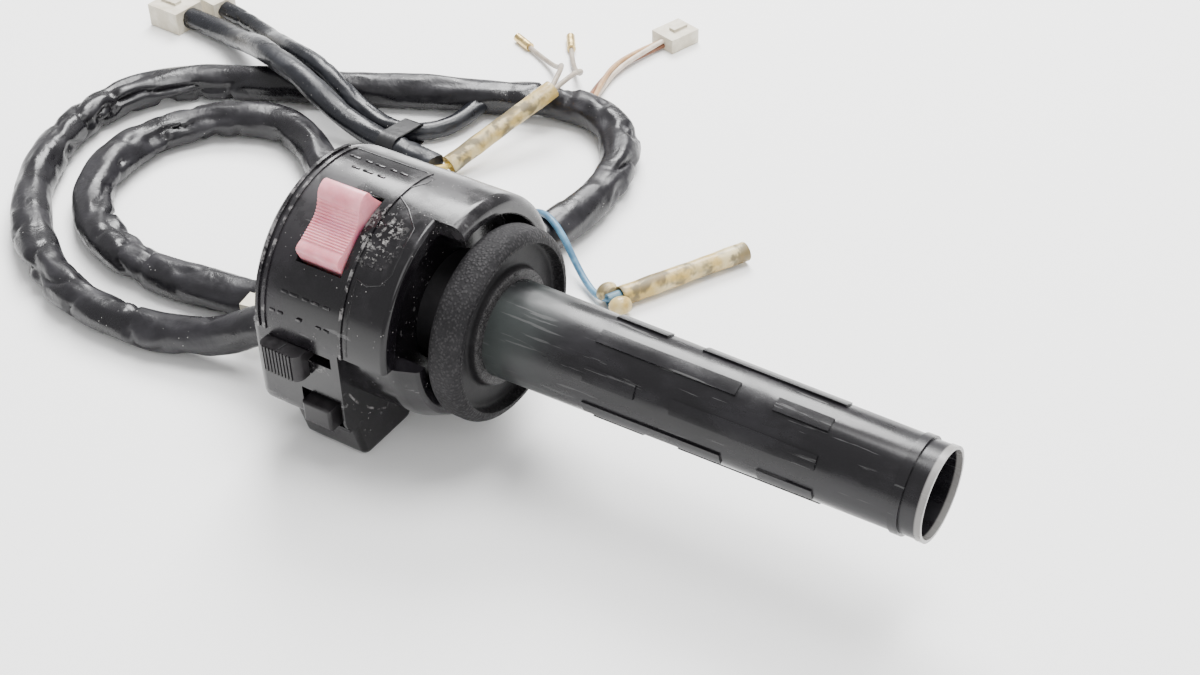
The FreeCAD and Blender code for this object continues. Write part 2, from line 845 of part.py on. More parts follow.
def rod(label, radius, length, direction, start):
    """A Part cylinder from a start point along X, Y or Z."""
    made = document.addObject("Part::Cylinder", label)
    bind(made, Radius=radius, Height=length)
    turns = {"X": (Vector(0, 1, 0), 90), "Y": (Vector(-1, 0, 0), 90), "Z": (Vector(0, 0, 1), 0)}
    made.Placement = Placement(Vector(0, 0, 0), Rotation(*turns[direction]))
    for letter, value in zip("xyz", start):
        made.setExpression("Placement.Base." + letter, asSize(value).formula)
    return made


def joined(label, kind, first, second):
    made = document.addObject("Part::" + kind, label)
    made.Base = first
    made.Tool = second
    document.recompute()
    return made


def crossScrew(label, radius, head, headDepth, length, direction, seat):
    """A pan-head screw: seat is under its head, and its shank runs along the direction."""
    index = "XYZ".index(direction)
    top = list(seat)
    top[index] = seat[index] - headDepth
    shank = rod(label + "Shank", radius, length, direction, seat)
    cap = rod(label + "Head", head, headDepth, direction, top)
    screw = joined(label + "Blank", "Fuse", shank, cap)
    for turned in (0, 1):
        slot = [head * 1.1, head * 0.26]
        extent = slot[::-1] if turned else slot
        sides = [letter for letter in "XYZ" if letter != direction]
        cutter = document.addObject("Part::Box", label + "Slot")
        names = {"X": "Length", "Y": "Width", "Z": "Height"}
        bind(cutter, **{names[direction]: headDepth * 0.5})
        cutter.setExpression("Placement.Base." + direction.lower(), asSize(top[index]).formula)
        for side, across in zip(sides, extent):
            bind(cutter, **{names[side]: across})
            start = top["XYZ".index(side)] - across / 2
            cutter.setExpression("Placement.Base." + side.lower(), asSize(start).formula)
        screw = joined(label + "Cut", "Cut", screw, cutter)
    return screw


def coil(label, radius, wire, length, turns, at, turn):
    """A compression spring standing along its own Z axis."""
    radius, wire, length, turns = (asSize(v).number for v in (radius, wire, length, turns))
    rise = length - wire - 0.1
    spine = Part.makeHelix(rise / turns, rise, radius)
    spine.translate(Vector(0, 0, wire / 2 + 0.05))
    start = Vector(radius, 0, wire / 2 + 0.05)
    ring = Part.Wire(Part.makeCircle(wire / 2, start, Vector(0, 1, 0)))
    shape = Part.Wire(spine.Edges).makePipeShell([ring], True, True)
    made = document.addObject("Part::Feature", label)
    made.Label = label
    made.Shape = shape
    return keep(made, at, turn)


# ---------------------------------------------------------------- engine-stop switch

rockerAt = (-size.rockerMiddle, pivotY, pivotZ)
rockerTurn = 90.0 - size.rockerAngle


def killRocker():
    """Rocker about its own pivot: X along the pin, Y towards its raised end, Z out of the case."""
    body = newBody("kill_rocker")
    half = size.rockerWidth / 2
    reach = size.rockerRadius
    extrude(body, "YZ_Plane", -half, size.rockerWidth, [
        (reach - 0.1, 0.0), (reach - 0.9, 4.5), (reach - 1.6, 11.6, 1.6), (reach - 5.6, 11.9, 2.0),
        (3.2, 8.6, 4.0), (-3.5, 7.4, 7.0), (1.5 - reach, 7.6, 1.2), (0.9 - reach, 4.5),
        (0.1 - reach, 0.0), (3.0 - reach, -2.4), (-2.5, -2.4), (-2.5, -size.noseRadius),
        (2.5, -size.noseRadius), (2.5, -2.4), (reach - 3.0, -2.4),
    ])
    side = (size.rockerWidth - size.noseWidth) / 2
    for start in (-half, half - side):
        extrude(body, "YZ_Plane", start, side, box(
            (-3.0, -size.noseRadius - 1.0), (6.0, size.noseRadius - 1.4)
        ), "Pocket")
    extrude(body, "YZ_Plane", -half - 1.0, size.rockerWidth + 2.0, None, "Pocket",
            (0.0, 0.0, size.pinRadius + size.pinFit))
    return keep(body, rockerAt, rockerTurn)


def killSwitch():
    start = lugStarts()[0]
    span = size.rockerWidth + 2 * (size.rockerSideGap + size.lugWidth)
    pin = rod("rocker_pin", size.pinRadius, span, "X", (0.0, 0.0, 0.0))
    pin.Label = "rocker_pin"
    shift(pin, (start, pivotY, pivotZ))
    board = -size.lugDrop - size.boardThick
    block("kill_board", (-span / 2, -7.6, board), (span, 15.2, size.boardThick),
          rockerAt, rockerTurn)
    strip = (size.noseWidth, 2.6, 2.0)
    boxGroup("kill_terminals", [
        ((-size.noseWidth / 2, y, -size.lugDrop), strip) for y in (1.8, -4.4)
    ], rockerAt, rockerTurn)
    block("kill_contact", (-size.noseWidth / 2, -2.4, -size.noseRadius - size.contactThick),
          (size.noseWidth, 4.8, size.contactThick), rockerAt, rockerTurn)


# ---------------------------------------------------------------- lighting switch

wallRight = -size.starterRight - size.wall
# the slider's foot stops just short of the starter block's wall
sliderTravel = wallRight + size.sliderLeft - size.sliderWidth - size.slideGap
sliderFootY = -inside + size.slideGap
lightBoardY = sliderFootY + size.sliderFoot + size.contactThick + size.terminalThick + size.slideGap
lightBoardX = (
    -size.sliderLeft - size.boardMargin,
    sliderTravel + size.sliderWidth - size.sliderLeft - size.boardGap,
)
lightPosts = [(x, -size.lightPostDrop) for x in (
    lightBoardX[0] + size.postInset, lightBoardX[1] - size.postInset,
)]


def lightSlider():
    body = newBody("light_slider")
    front = -size.caseRadius - size.sliderReach
    back = -size.caseRadius - size.slideGap
    top, bottom = -size.sliderTop, -size.sliderTop - size.sliderHeight
    stemTop = -size.slotTop - size.slideGap
    stemBottom = -size.slotTop - size.slotHeight + size.slideGap
    foot = sliderFootY + size.sliderFoot
    extrude(body, "YZ_Plane", -size.sliderLeft, size.sliderWidth, [
        (front, bottom), (front, top), (back, top), (back, stemTop),
        (sliderFootY, stemTop), (sliderFootY, -0.9), (foot, -0.9), (foot, -10.6),
        (sliderFootY, -10.6), (sliderFootY, stemBottom), (back, stemBottom), (back, bottom),
    ])
    roundEdges(body, 2.6, lambda edge: (
        along(edge, Vector(0, 0, 1)) and abs(middle(edge).y - front.number) < 0.05
    ))
    gripGrooves(body, front, bottom)
    return keep(body)


def gripGrooves(body, front, bottom):
    """Upright grooves in the slider's front face."""
    pitch = 1.15
    count = 9
    first = -size.sliderLeft + (size.sliderWidth - pitch * (count - 1)) / 2 - 0.25
    sketch = newSketch(body, "XY_Plane", bottom - 0.5)
    for i in range(count):
        drawOutline(sketch, box((first + i * pitch, front - 1.0), (0.5, 1.5)))
    feature(body, "Pocket", sketch, Length=size.sliderHeight + 1.0, Reversed=True)


def lightSwitch():
    foot = sliderFootY + size.sliderFoot
    middleZ = -size.slotTop - size.slotHeight / 2 - 2.1
    block("light_contact", (-size.sliderLeft + 2.0, foot, middleZ - 2.8),
          (size.sliderWidth - 4.0, size.contactThick, 5.6))
    board("light_board", lightBoardX, lightBoardY, (-14.8, 13.6), lightPosts)
    half = size.terminalWidth / 2
    boxGroup("light_terminals", [
        ((x, lightBoardY - size.terminalThick, middleZ - half),
         (size.terminalWidth, size.terminalThick, size.terminalWidth))
        for x in (-size.sliderLeft + 1.8 + i * size.terminalPitch for i in range(3))
    ])


def board(label, span, y, height, screws):
    """A contact board on its edge, with a hole for each of its screws."""
    body = newBody(label)
    extrude(body, "XZ_Plane", -y - size.boardThick, size.boardThick, box(
        (span[0], height[0]), (span[1] - span[0], height[1])
    ))
    for x, z in screws:
        extrude(body, "XZ_Plane", -y - size.boardThick - 1.0, size.boardThick + 2.0, None,
                "Pocket", (x, z, size.smallScrewRadius + 0.1))
    return keep(body)


# ---------------------------------------------------------------- starter switch

flangeFront = -windowBack + 0.1
flangeBack = flangeFront + 1.5
startBoardY = flangeBack + size.contactThick + size.springLength
startBoardX = (wallRight - size.boardGap - size.startBoardWidth, wallRight - size.boardGap)
startPosts = [(x, buttonZ - size.startPostDrop) for x in (
    startBoardX[0] + size.postInset, startBoardX[1] - size.postInset,
)]


def startButton():
    body = newBody("start_button")
    width, height = size.buttonWidth, size.buttonHeight
    stem = buttonFront + flangeFront
    extrude(body, "XZ_Plane", -flangeFront, stem, box(
        (buttonX - width / 2, buttonZ - height / 2), (width, height)
    ))
    roundEdges(body, 0.9, lambda edge: abs(middle(edge).y + buttonFront.number) < 0.05)
    extrude(body, "XZ_Plane", -flangeBack, flangeBack - flangeFront, box(
        (buttonX - width / 2 - 1.3, buttonZ - height / 2 - 1.0), (width + 1.3, height + 2.0)
    ))
    return keep(body)


def startSwitch():
    half = size.buttonWidth / 2
    block("start_contact", (buttonX - half, flangeBack, buttonZ - 2.2),
          (size.buttonWidth - 0.6, size.contactThick, 4.4))
    board("start_board", startBoardX, startBoardY, (buttonZ - 11.6, 17.0), startPosts)
    reach = size.springLength - size.buttonTravel - size.slideGap
    boxGroup("start_terminals", [
        ((x, startBoardY - reach, buttonZ - 1.2), (1.0, reach, 2.4))
        for x in (buttonX - half + 0.2, buttonX + half - 1.8)
    ])
    coil("start_spring", size.springRadius, size.springWire, size.springLength,
         size.springTurns, (buttonX, startBoardY, buttonZ), 90.0)


# ---------------------------------------------------------------- fasteners and grommet

def fasteners():
    screws = [
        crossScrew(f"caseScrew{i}", size.screwRadius, size.screwHead, size.screwHeadDepth,
                   size.screwLength, "Z", (asSize(x), asSize(y), -size.screwSeat))
        for i, (x, y) in enumerate(screwPlaces)
    ]
    keep(gather("case_screws", screws))
    small = []
    for i, (x, z) in enumerate(lightPosts):
        small.append(boardScrew(f"lightScrew{i}", x, lightBoardY + size.boardThick, z, 4.0))
    for i, (x, z) in enumerate(startPosts):
        small.append(boardScrew(f"startScrew{i}", x, startBoardY + size.boardThick, z, 5.0))
    keep(gather("switch_screws", small))


def boardScrew(label, x, y, z, length):
    """A short screw whose head lies behind a contact board, with its shank forward."""
    head = rod(label + "Head", size.smallScrewHead, 1.0, "Y", (x, y, z))
    shank = rod(label + "Shank", size.smallScrewRadius, length, "Y", (x, y - length, z))
    return joined(label, "Fuse", head, shank)


def posts(body):
    """Posts inside the lower case that the two contact boards are screwed to."""
    for x, z in lightPosts:
        post(body, x, z, lightBoardY, inside + 1.2)
    for x, z in startPosts:
        post(body, x, z, startBoardY, size.caseRadius - 4.9)


def post(body, x, z, back, front):
    extrude(body, "XZ_Plane", -back, front + back, None, circle=(x, z, size.postRadius))
    extrude(body, "XZ_Plane", -back - 0.1, 5.2, None, "Pocket", (x, z, size.smallScrewRadius))


def loomGrommet():
    body = newBody("loom_grommet")
    radius = size.loomRadius
    outer = radius + size.grommetWall
    flange = outer + 1.1
    sketch = drawOutline(newSketch(body, "XY_Plane"), [
        (-size.grommetReach, radius), (size.wall + 0.8, radius), (size.wall + 0.8, flange),
        (size.wall, flange), (size.wall, outer), (0.0, outer), (0.0, flange), (-1.6, flange),
        (-1.8, outer), (-size.grommetReach, radius + size.grommetTip),
    ])
    revolve(body, sketch)
    return keep(body, (left, -size.loomExitY, -size.loomExitZ))


# ---------------------------------------------------------------- wiring
# Routes are chosen by hand, in millimetres from the part's origin, on the surface Z = 0.

mainLoom = [
    (-85.7, -5.8, 21.4), (-104.5, -7, 18.5), (-119.5, -12.5, 9), (-138.5, -19, 6),
    (-165.5, -21, 6), (-192.5, -14, 6), (-216.5, 2, 6), (-235.5, 24, 6), (-245.5, 50, 6),
    (-243.5, 76, 6), (-230.5, 95, 6), (-208.5, 105, 6), (-186.5, 114, 6), (-164.5, 126, 6),
    (-144.5, 134, 6), (-125.5, 142.5, 6), (-105.5, 150, 6), (-86.5, 146, 6), (-73.5, 131, 6),
    (-68.5, 110, 6), (-69, 87, 6), (-73.5, 65, 6), (-86.5, 48, 6), (-107.5, 42, 6),
    (-128.5, 50, 6), (-144.5, 66, 6), (-162.5, 81, 6), (-182.5, 90, 6), (-200.5, 83, 6),
    (-215.5, 68, 6), (-219.5, 46, 6), (-211.5, 25, 6), (-194.5, 10, 6), (-171.5, 3, 6),
    (-147.5, 4, 6), (-124.5, 8, 6),
]
sideSleeve = [
    (-125.5, 96.5, 4.2), (-140.5, 98, 4.7), (-155.5, 99.5, 5), (-169.5, 100, 10),
    (-184.5, 102, 17.2), (-202.5, 107, 18), (-218.5, 116, 13.5), (-233.5, 124, 6.5),
    (-249.5, 129, 4.2), (-265.5, 130, 4.2),
]
thinSleeve = [
    (-133.5, 139, 6), (-134.2, 129.5, 4.8), (-135.5, 120.5, 3.8), (-140.5, 112.5, 3.7),
    (-149.5, 108.2, 3.8), (-160.5, 108.2, 5.2), (-173.5, 110.4, 10.5), (-185.5, 113, 16),
    (-200.5, 117, 15.8), (-214.5, 125, 10.5), (-228.5, 134, 4.6), (-244.5, 141, 3.2),
    (-260.5, 144, 3.2),
]
yellowWire = [(-131.2, 95, 4.2), (-122.6, 95, 3.9), (-120.6, 103, 5.2)]
blueWire = [
    (-126, 94.6, 3.2), (-118.5, 94.6, 1.4), (-109.5, 97.4, 1.1), (-98.5, 96, 1.1),
    (-87.5, 90.5, 1.1), (-73.5, 82.5, 13.4), (-63.5, 77.5, 13.2), (-53.5, 73, 3.2),
    (-46, 68.2, 1.8), (-41, 65.8, 2.6), (-36.9, 66.4, 3.2),
]
greyWireLeft = [
    (-108.3, 140.5, 16), (-110.5, 149, 17.2), (-116.5, 160, 13.4), (-124.5, 169, 4.6),
    (-134.5, 176, 1.2), (-145.5, 181, 1.4),
]
greyWireRight = [
    (-107.1, 140.8, 16), (-106, 149, 17.4), (-108.5, 160, 13.4), (-115.5, 169, 4.6),
    (-124.5, 178, 1.2), (-131.5, 188, 1.4),
]
brownWires = [
    (-101.5, 149, 6), (-103.5, 159, 4.2), (-107.5, 170, 2.2), (-109.5, 182, 2.2),
    (-107.5, 195, 2.2), (-103.5, 208, 2.4),
]
sleeveA = ((-121.7, 99, 4.2), (-107.7, 140.5, 16.2))
sleeveB = ((-36, 68.6, 3.4), (-14.9, 108, 3.4))


def route(points):
    """A wire of straight runs joined by tangent arcs, and its smallest arc radius."""
    places = [Vector(*p) for p in points]
    edges, at, smallest = [], places[0], None
    for before, corner, after in zip(places, places[1:], places[2:]):
        into, out = corner - before, after - corner
        half = into.getAngle(out) / 2
        reach = 0.45 * min(into.Length, out.Length)
        radius = reach / math.tan(half)
        smallest = radius if smallest is None else min(smallest, radius)
        start = corner - into.normalize() * reach
        end = corner + out.normalize() * reach
        inward = (out - into).normalize()
        centre = corner + inward * (radius / math.cos(half))
        crest = centre - inward * radius
        edges.append(Part.LineSegment(at, start).toShape())
        edges.append(Part.Arc(start, crest, end).toShape())
        at = end
    edges.append(Part.LineSegment(at, places[-1]).toShape())
    return Part.Wire(edges), smallest


def cord(label, radius, points):
    """A round cord along a route; its volume is compared with its section times its length."""
    radius = asSize(radius).number
    path, smallest = route(points)
    tangent = Vector(*points[1]) - Vector(*points[0])
    ring = Part.Wire(Part.makeCircle(radius, Vector(*points[0]), tangent))
    shape = path.makePipeShell([ring], True, False)
    expected = math.pi * radius * radius * path.Length
    if abs(shape.Volume / expected - 1) > 0.01:
        raise ValueError(f"{label} has volume {shape.Volume:.0f}, expected {expected:.0f}")
    print(f"{label}: length {path.Length:.0f}, smallest radius {smallest:.1f}")
    return keepShape(label, shape)


def keepShape(label, shape):
    """Registers a finished shape that stays at its chosen place on the floor."""
    made = document.addObject("Part::Feature", label)
    made.Label = label
    made.Shape = shape
    nodes[label] = made
    return made


def tube(label, ends, outer, inner, before=0.0, after=0.0):
    """A straight sleeve between two points, longer or shorter at its ends, or a solid pin."""
    start, end = (Vector(*point) for point in ends)
    heading = (end - start).normalize()
    start, end = start - heading * before, end + heading * after
    outer = asSize(outer).number
    shape = Part.makeCylinder(outer, (end - start).Length, start, heading)
    if inner is not None:
        bore = asSize(inner).number
        shape = shape.cut(Part.makeCylinder(bore, (end - start).Length, start, heading))
    return keepShape(label, shape)


def housing(label, ends, length, width, height, sockets):
    """A connector housing on a cord's last run: a box with open sockets in its far end."""
    before, last = (Vector(*point) for point in ends)
    shape = Part.makeBox(length, width, height, Vector(-1.5, -width / 2, 0))
    latch = Part.makeBox(length / 2, width / 4, 1.0, Vector(length / 4, -width / 8, height))
    shape = shape.fuse(latch)
    across, up = sockets
    cell = (width - 1.2) / across, (height - 1.2) / up
    for i in range(across):
        for j in range(up):
            corner = Vector(length - 9.5, 0.9 - width / 2 + i * cell[0], 0.9 + j * cell[1])
            shape = shape.cut(Part.makeBox(9.0, cell[0] - 0.6, cell[1] - 0.6, corner))
    heading = last - before
    yaw = math.degrees(math.atan2(heading.y, heading.x))
    shape = shape.removeSplitter()
    shape.Placement = Placement(Vector(last.x, last.y, 0), Rotation(Vector(0, 0, 1), yaw))
    return keepShape(label, shape)


def wiring():
    cord("main_loom", size.loomRadius, mainLoom)
    cord("side_sleeve", size.sideRadius, sideSleeve)
    cord("thin_sleeve", size.thinRadius, thinSleeve)
    cord("yellow_wire", size.wireRadius, yellowWire)
    cord("blue_wire", size.wireRadius, blueWire)
    cord("grey_wire_left", size.greyRadius, greyWireLeft)
    cord("grey_wire_right", size.greyRadius, greyWireRight)
    cord("brown_wires", size.brownRadius, brownWires)


def connectors():
    inner = size.clearRadius - size.clearWall
    tube("connector_sleeve_a", sleeveA, size.clearRadius, inner)
    tube("connector_sleeve_b", sleeveB, size.clearRadius, inner)
    start, end = (Vector(*point) for point in sleeveB)
    heading = (end - start).normalize()
    boot = (tuple(start - heading * 4.5), tuple(start + heading))
    tube("blue_boot", boot, size.bootRadius, None)
    housing("loom_connector", mainLoom[-2:], 22.0, 18.0, 11.6, (3, 2))
    housing("side_connector", sideSleeve[-2:], 15.0, 13.0, 8.6, (2, 1))
    housing("thin_connector", thinSleeve[-2:], 13.0, 10.0, 6.6, (2, 1))
    housing("brown_connector", brownWires[-2:], 13.0, 11.0, 5.4, (3, 1))
    bullets = []
    for points in (greyWireLeft, greyWireRight):
        before, last = (Vector(*point) for point in points[-2:])
        heading = Vector(last.x - before.x, last.y - before.y, 0).normalize()
        foot = Vector(last.x, last.y, 1.6) - heading
        bullets.append(Part.makeCylinder(1.6, 9.0, foot, heading))
    keepShape("grey_bullets", Part.makeCompound(bullets))
    tape()


def tape():
    """A band round the two sleeves where they run side by side."""
    body = newBody("harness_tape")
    start, width = -148.5, 7.0
    low, high = (93.4, 0.0), (112.8, 9.8)
    for inset, kind in ((0.0, "Pad"), (size.tapeThick, "Pocket")):
        corners = [
            (low[0] + inset, low[1] + inset, 3.6 - inset),
            (high[0] - inset, low[1] + inset, 3.2 - inset),
            (high[0] - inset, high[1] - 2.4 - inset, 3.2 - inset),
            (low[0] + inset, high[1] - inset, 4.6 - inset),
        ]
        extrude(body, "YZ_Plane", start, width, corners, kind)
    nodes[body.Label] = body


for build in (
    throttleTube, flangeRing, upperCase, lowerCase, killRocker, killSwitch, lightSlider,
    lightSwitch, startButton, startSwitch, fasteners, loomGrommet, wiring, connectors,
):
    build()

document.recompute()
for item in document.Objects:
    if "Invalid" in item.State or "Error" in item.State:
        raise ValueError(f"{item.Name} is {item.State}")
os.makedirs("parts", exist_ok=True)
for name, item in nodes.items():
    if item.Shape.isNull() or not item.Shape.isValid():
        raise ValueError(name + " has no valid shape")
    item.Shape.exportStep(f"parts/{name}.step")
print(len(nodes), "sub-parts written")
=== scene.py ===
import math

import bpy
from mathutils import Matrix, Vector, noise


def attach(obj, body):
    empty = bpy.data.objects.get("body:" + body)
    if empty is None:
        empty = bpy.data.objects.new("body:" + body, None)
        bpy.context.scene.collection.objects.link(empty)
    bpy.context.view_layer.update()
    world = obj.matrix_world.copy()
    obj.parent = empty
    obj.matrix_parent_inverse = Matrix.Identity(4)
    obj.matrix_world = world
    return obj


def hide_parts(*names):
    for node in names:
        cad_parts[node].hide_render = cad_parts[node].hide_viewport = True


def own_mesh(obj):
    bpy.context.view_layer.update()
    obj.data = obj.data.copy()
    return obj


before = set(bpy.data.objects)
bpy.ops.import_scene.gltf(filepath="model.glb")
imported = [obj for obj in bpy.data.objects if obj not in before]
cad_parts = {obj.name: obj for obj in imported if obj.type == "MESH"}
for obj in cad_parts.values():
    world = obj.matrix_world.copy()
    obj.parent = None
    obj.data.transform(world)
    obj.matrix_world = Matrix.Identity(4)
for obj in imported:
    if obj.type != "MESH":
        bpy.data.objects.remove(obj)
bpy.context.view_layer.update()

# The bar's axis in the part's frame, metres. X = 0 on it is the flange ring's outer face.
barAxis = Vector((-0.0268, 0.00225, 0.040))
caseRadius = 0.0335


def fromBar(x, y, z):
    # millimetres from the bar's axis to the part's frame
    return Vector((x * 0.001, y * 0.001, z * 0.001)) + barAxis


def onCase(x, angle, lift=0.0):
    # a point on the housing's round skin, x in mm and angle up from the front in degrees
    r = caseRadius * 1000 + lift
    a = math.radians(angle)
    return fromBar(x, -r * math.cos(a), r * math.sin(a))


# Shader maths

class Value:
    # a socket that Python arithmetic works on

    def __init__(self, finish, socket):
        self.finish = finish
        self.socket = socket

    def math(self, operation, first, second=None):
        links = {0: first}
        if second is not None:
            links[1] = second
        return self.finish.node("Math", {"operation": operation}, links)

    def __add__(self, other):
        return self.math("ADD", self, other)

    def __radd__(self, other):
        return self.math("ADD", other, self)

    def __sub__(self, other):
        return self.math("SUBTRACT", self, other)

    def __rsub__(self, other):
        return self.math("SUBTRACT", other, self)

    def __mul__(self, other):
        return self.math("MULTIPLY", self, other)

    def __rmul__(self, other):
        return self.math("MULTIPLY", other, self)


class Finish:
    # a material that is being built

    def __init__(self, name, **fixed):
        self.material = bpy.data.materials.new(name)
        self.material.use_nodes = True
        self.tree = self.material.node_tree
        self.shader = self.tree.nodes["Principled BSDF"]
        self.place = self.node("TexCoord", output="Object")
        for socket, value in fixed.items():
            self.shader.inputs[socket.replace("_", " ")].default_value = value

    def node(self, kind, settings=None, links=None, output=0):
        made = self.tree.nodes.new("ShaderNode" + kind)
        for key, value in (settings or {}).items():
            setattr(made, key, value)
        for key, value in (links or {}).items():
            if isinstance(value, Value):
                self.tree.links.new(value.socket, made.inputs[key])
            else:
                made.inputs[key].default_value = value
        return Value(self, made.outputs[output])

    def moved(self, scale=(1, 1, 1), place=(0, 0, 0), turn=(0, 0, 0)):
        return self.node("Mapping", {}, {
            "Vector": self.place, "Scale": scale, "Location": place, "Rotation": turn,
        })

    def noise(self, scale, detail=4.0, rough=0.55, vector=None, distortion=0.0):
        return self.node("TexNoise", {}, {
            "Vector": vector or self.place, "Scale": scale, "Detail": detail,
            "Roughness": rough, "Distortion": distortion,
        })

    def cells(self, scale, vector=None, feature="F1", output="Distance"):
        return self.node("TexVoronoi", {"feature": feature}, {
            "Vector": vector or self.place, "Scale": scale,
        }, output)

    def between(self, value, low, high):
        # 0 below low, 1 above high, smooth between
        return self.node("MapRange", {"interpolation_type": "SMOOTHSTEP"}, {
            "Value": value, "From Min": low, "From Max": high,
        })

    def mix(self, factor, first, second, blend="MIX"):
        first, second = (
            (*c, 1.0) if isinstance(c, tuple) and len(c) == 3 else c for c in (first, second)
        )
        return self.node(
            "Mix", {"data_type": "RGBA", "blend_type": blend}, {0: factor, 6: first, 7: second}, 2
        )

    def xyz(self):
        made = self.tree.nodes.new("ShaderNodeSeparateXYZ")
        self.tree.links.new(self.place.socket, made.inputs[0])
        return [Value(self, made.outputs[i]) for i in range(3)]

    def fromAxis(self):
        # distance from the bar's axis
        x, y, z = self.xyz()
        y, z = y - barAxis.y, z - barAxis.z
        return self.node("Math", {"operation": "SQRT"}, {0: y * y + z * z})

    def near(self, point, low, high, stretch=(1, 1, 1)):
        # 1 within low of a point, 0 beyond high
        centred = self.moved(
            tuple(stretch), tuple(-p * s for p, s in zip(point, stretch))
        )
        distance = self.node("VectorMath", {"operation": "LENGTH"}, {0: centred}, "Value")
        return 1.0 - self.between(distance, low, high)

    def set(self, **sockets):
        for socket, value in sockets.items():
            target = self.shader.inputs[socket.replace("_", " ")]
            if isinstance(value, Value):
                self.tree.links.new(value.socket, target)
            else:
                target.default_value = value
        return self

    def bump(self, height, depth, strength=1.0):
        return self.node("Bump", {}, {
            "Height": height, "Distance": depth, "Strength": strength,
        })


# Small helpers for modelling by hand

def startFresh():
    if bpy.context.object and bpy.context.object.mode != "OBJECT":
        bpy.ops.object.mode_set(mode="OBJECT")
    bpy.ops.object.select_all(action="DESELECT")


def settle(name, finish, body, smooth=40, replaces=()):
    # names the active piece, leaves its place in its mesh and hangs it on a body
    piece = bpy.context.object
    bpy.ops.object.transform_apply(location=True, rotation=True, scale=True)
    piece.name = piece.data.name = name
    piece.data.materials.clear()
    piece.data.materials.append(finish)
    if smooth:
        bpy.ops.object.shade_smooth_by_angle(angle=math.radians(smooth))
    return hang(piece, body, replaces)


def hang(piece, body, replaces=()):
    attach(piece, body)
    if replaces:
        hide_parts(*replaces)
    return piece


def applied(kind, **settings):
    modifier = bpy.context.object.modifiers.new(kind, kind)
    for key, value in settings.items():
        setattr(modifier, key, value)
    bpy.ops.object.modifier_apply(modifier=modifier.name)


def drawnOutline(points):
    # one vertex is pulled from corner to corner, then the outline is filled
    startFresh()
    bpy.ops.mesh.primitive_plane_add(size=0.001)
    bpy.ops.object.mode_set(mode="EDIT")
    bpy.ops.mesh.select_mode(type="VERT")
    bpy.ops.mesh.select_all(action="SELECT")
    bpy.ops.mesh.merge(type="CENTER")
    bpy.ops.transform.translate(value=points[0])
    at = Vector(points[0])
    for point in points[1:]:
        step = Vector(point) - at
        bpy.ops.mesh.extrude_vertices_move(TRANSFORM_OT_translate={"value": step})
        at = Vector(point)
    bpy.ops.mesh.select_all(action="SELECT")
    bpy.ops.mesh.edge_face_add()


def pulled(direction):
    bpy.ops.mesh.select_all(action="SELECT")
    bpy.ops.mesh.extrude_region_move(TRANSFORM_OT_translate={"value": direction})
    bpy.ops.mesh.select_all(action="SELECT")
    bpy.ops.mesh.normals_make_consistent(inside=False)


def endsOf(facts):
    # a piece's two ends in metres
    return Vector(facts["start"]) * 0.001, Vector(facts["end"]) * 0.001


def crossCut(length, rings):
    # cuts the piece that is being edited into even lengths along Z
    bpy.ops.mesh.select_mode(type="VERT")
    for i in range(1, rings):
        bpy.ops.mesh.select_all(action="SELECT")
        bpy.ops.mesh.bisect(plane_co=(0, 0, length * (i / rings - 0.5)), plane_no=(0, 0, 1))


def pickRing(piece, z, reach):
    # selects the vertices of one cut
    bpy.ops.mesh.select_all(action="DESELECT")
    bpy.ops.object.mode_set(mode="OBJECT")
    for vertex in piece.data.vertices:
        vertex.select = abs(vertex.co.z - z) < reach
    bpy.ops.object.mode_set(mode="EDIT")


def pickFaces(piece, direction):
    # selects the faces that look along a direction
    bpy.ops.object.mode_set(mode="EDIT")
    bpy.ops.mesh.select_mode(type="FACE")
    bpy.ops.mesh.select_all(action="DESELECT")
    bpy.ops.object.mode_set(mode="OBJECT")
    for face in piece.data.polygons:
        face.select = face.normal.dot(direction) > 0.9
    bpy.ops.object.mode_set(mode="EDIT")


def turnedAlong(piece, direction, middle):
    # turns the piece's Z axis to a direction and puts it in its place
    piece.rotation_mode = "QUATERNION"
    piece.rotation_quaternion = direction.to_track_quat("Z", "Y")
    piece.location = middle


def joinedPieces(pieces):
    startFresh()
    for piece in pieces:
        piece.select_set(True)
    bpy.context.view_layer.objects.active = pieces[0]
    if len(pieces) > 1:
        bpy.ops.object.join()


# Finishes

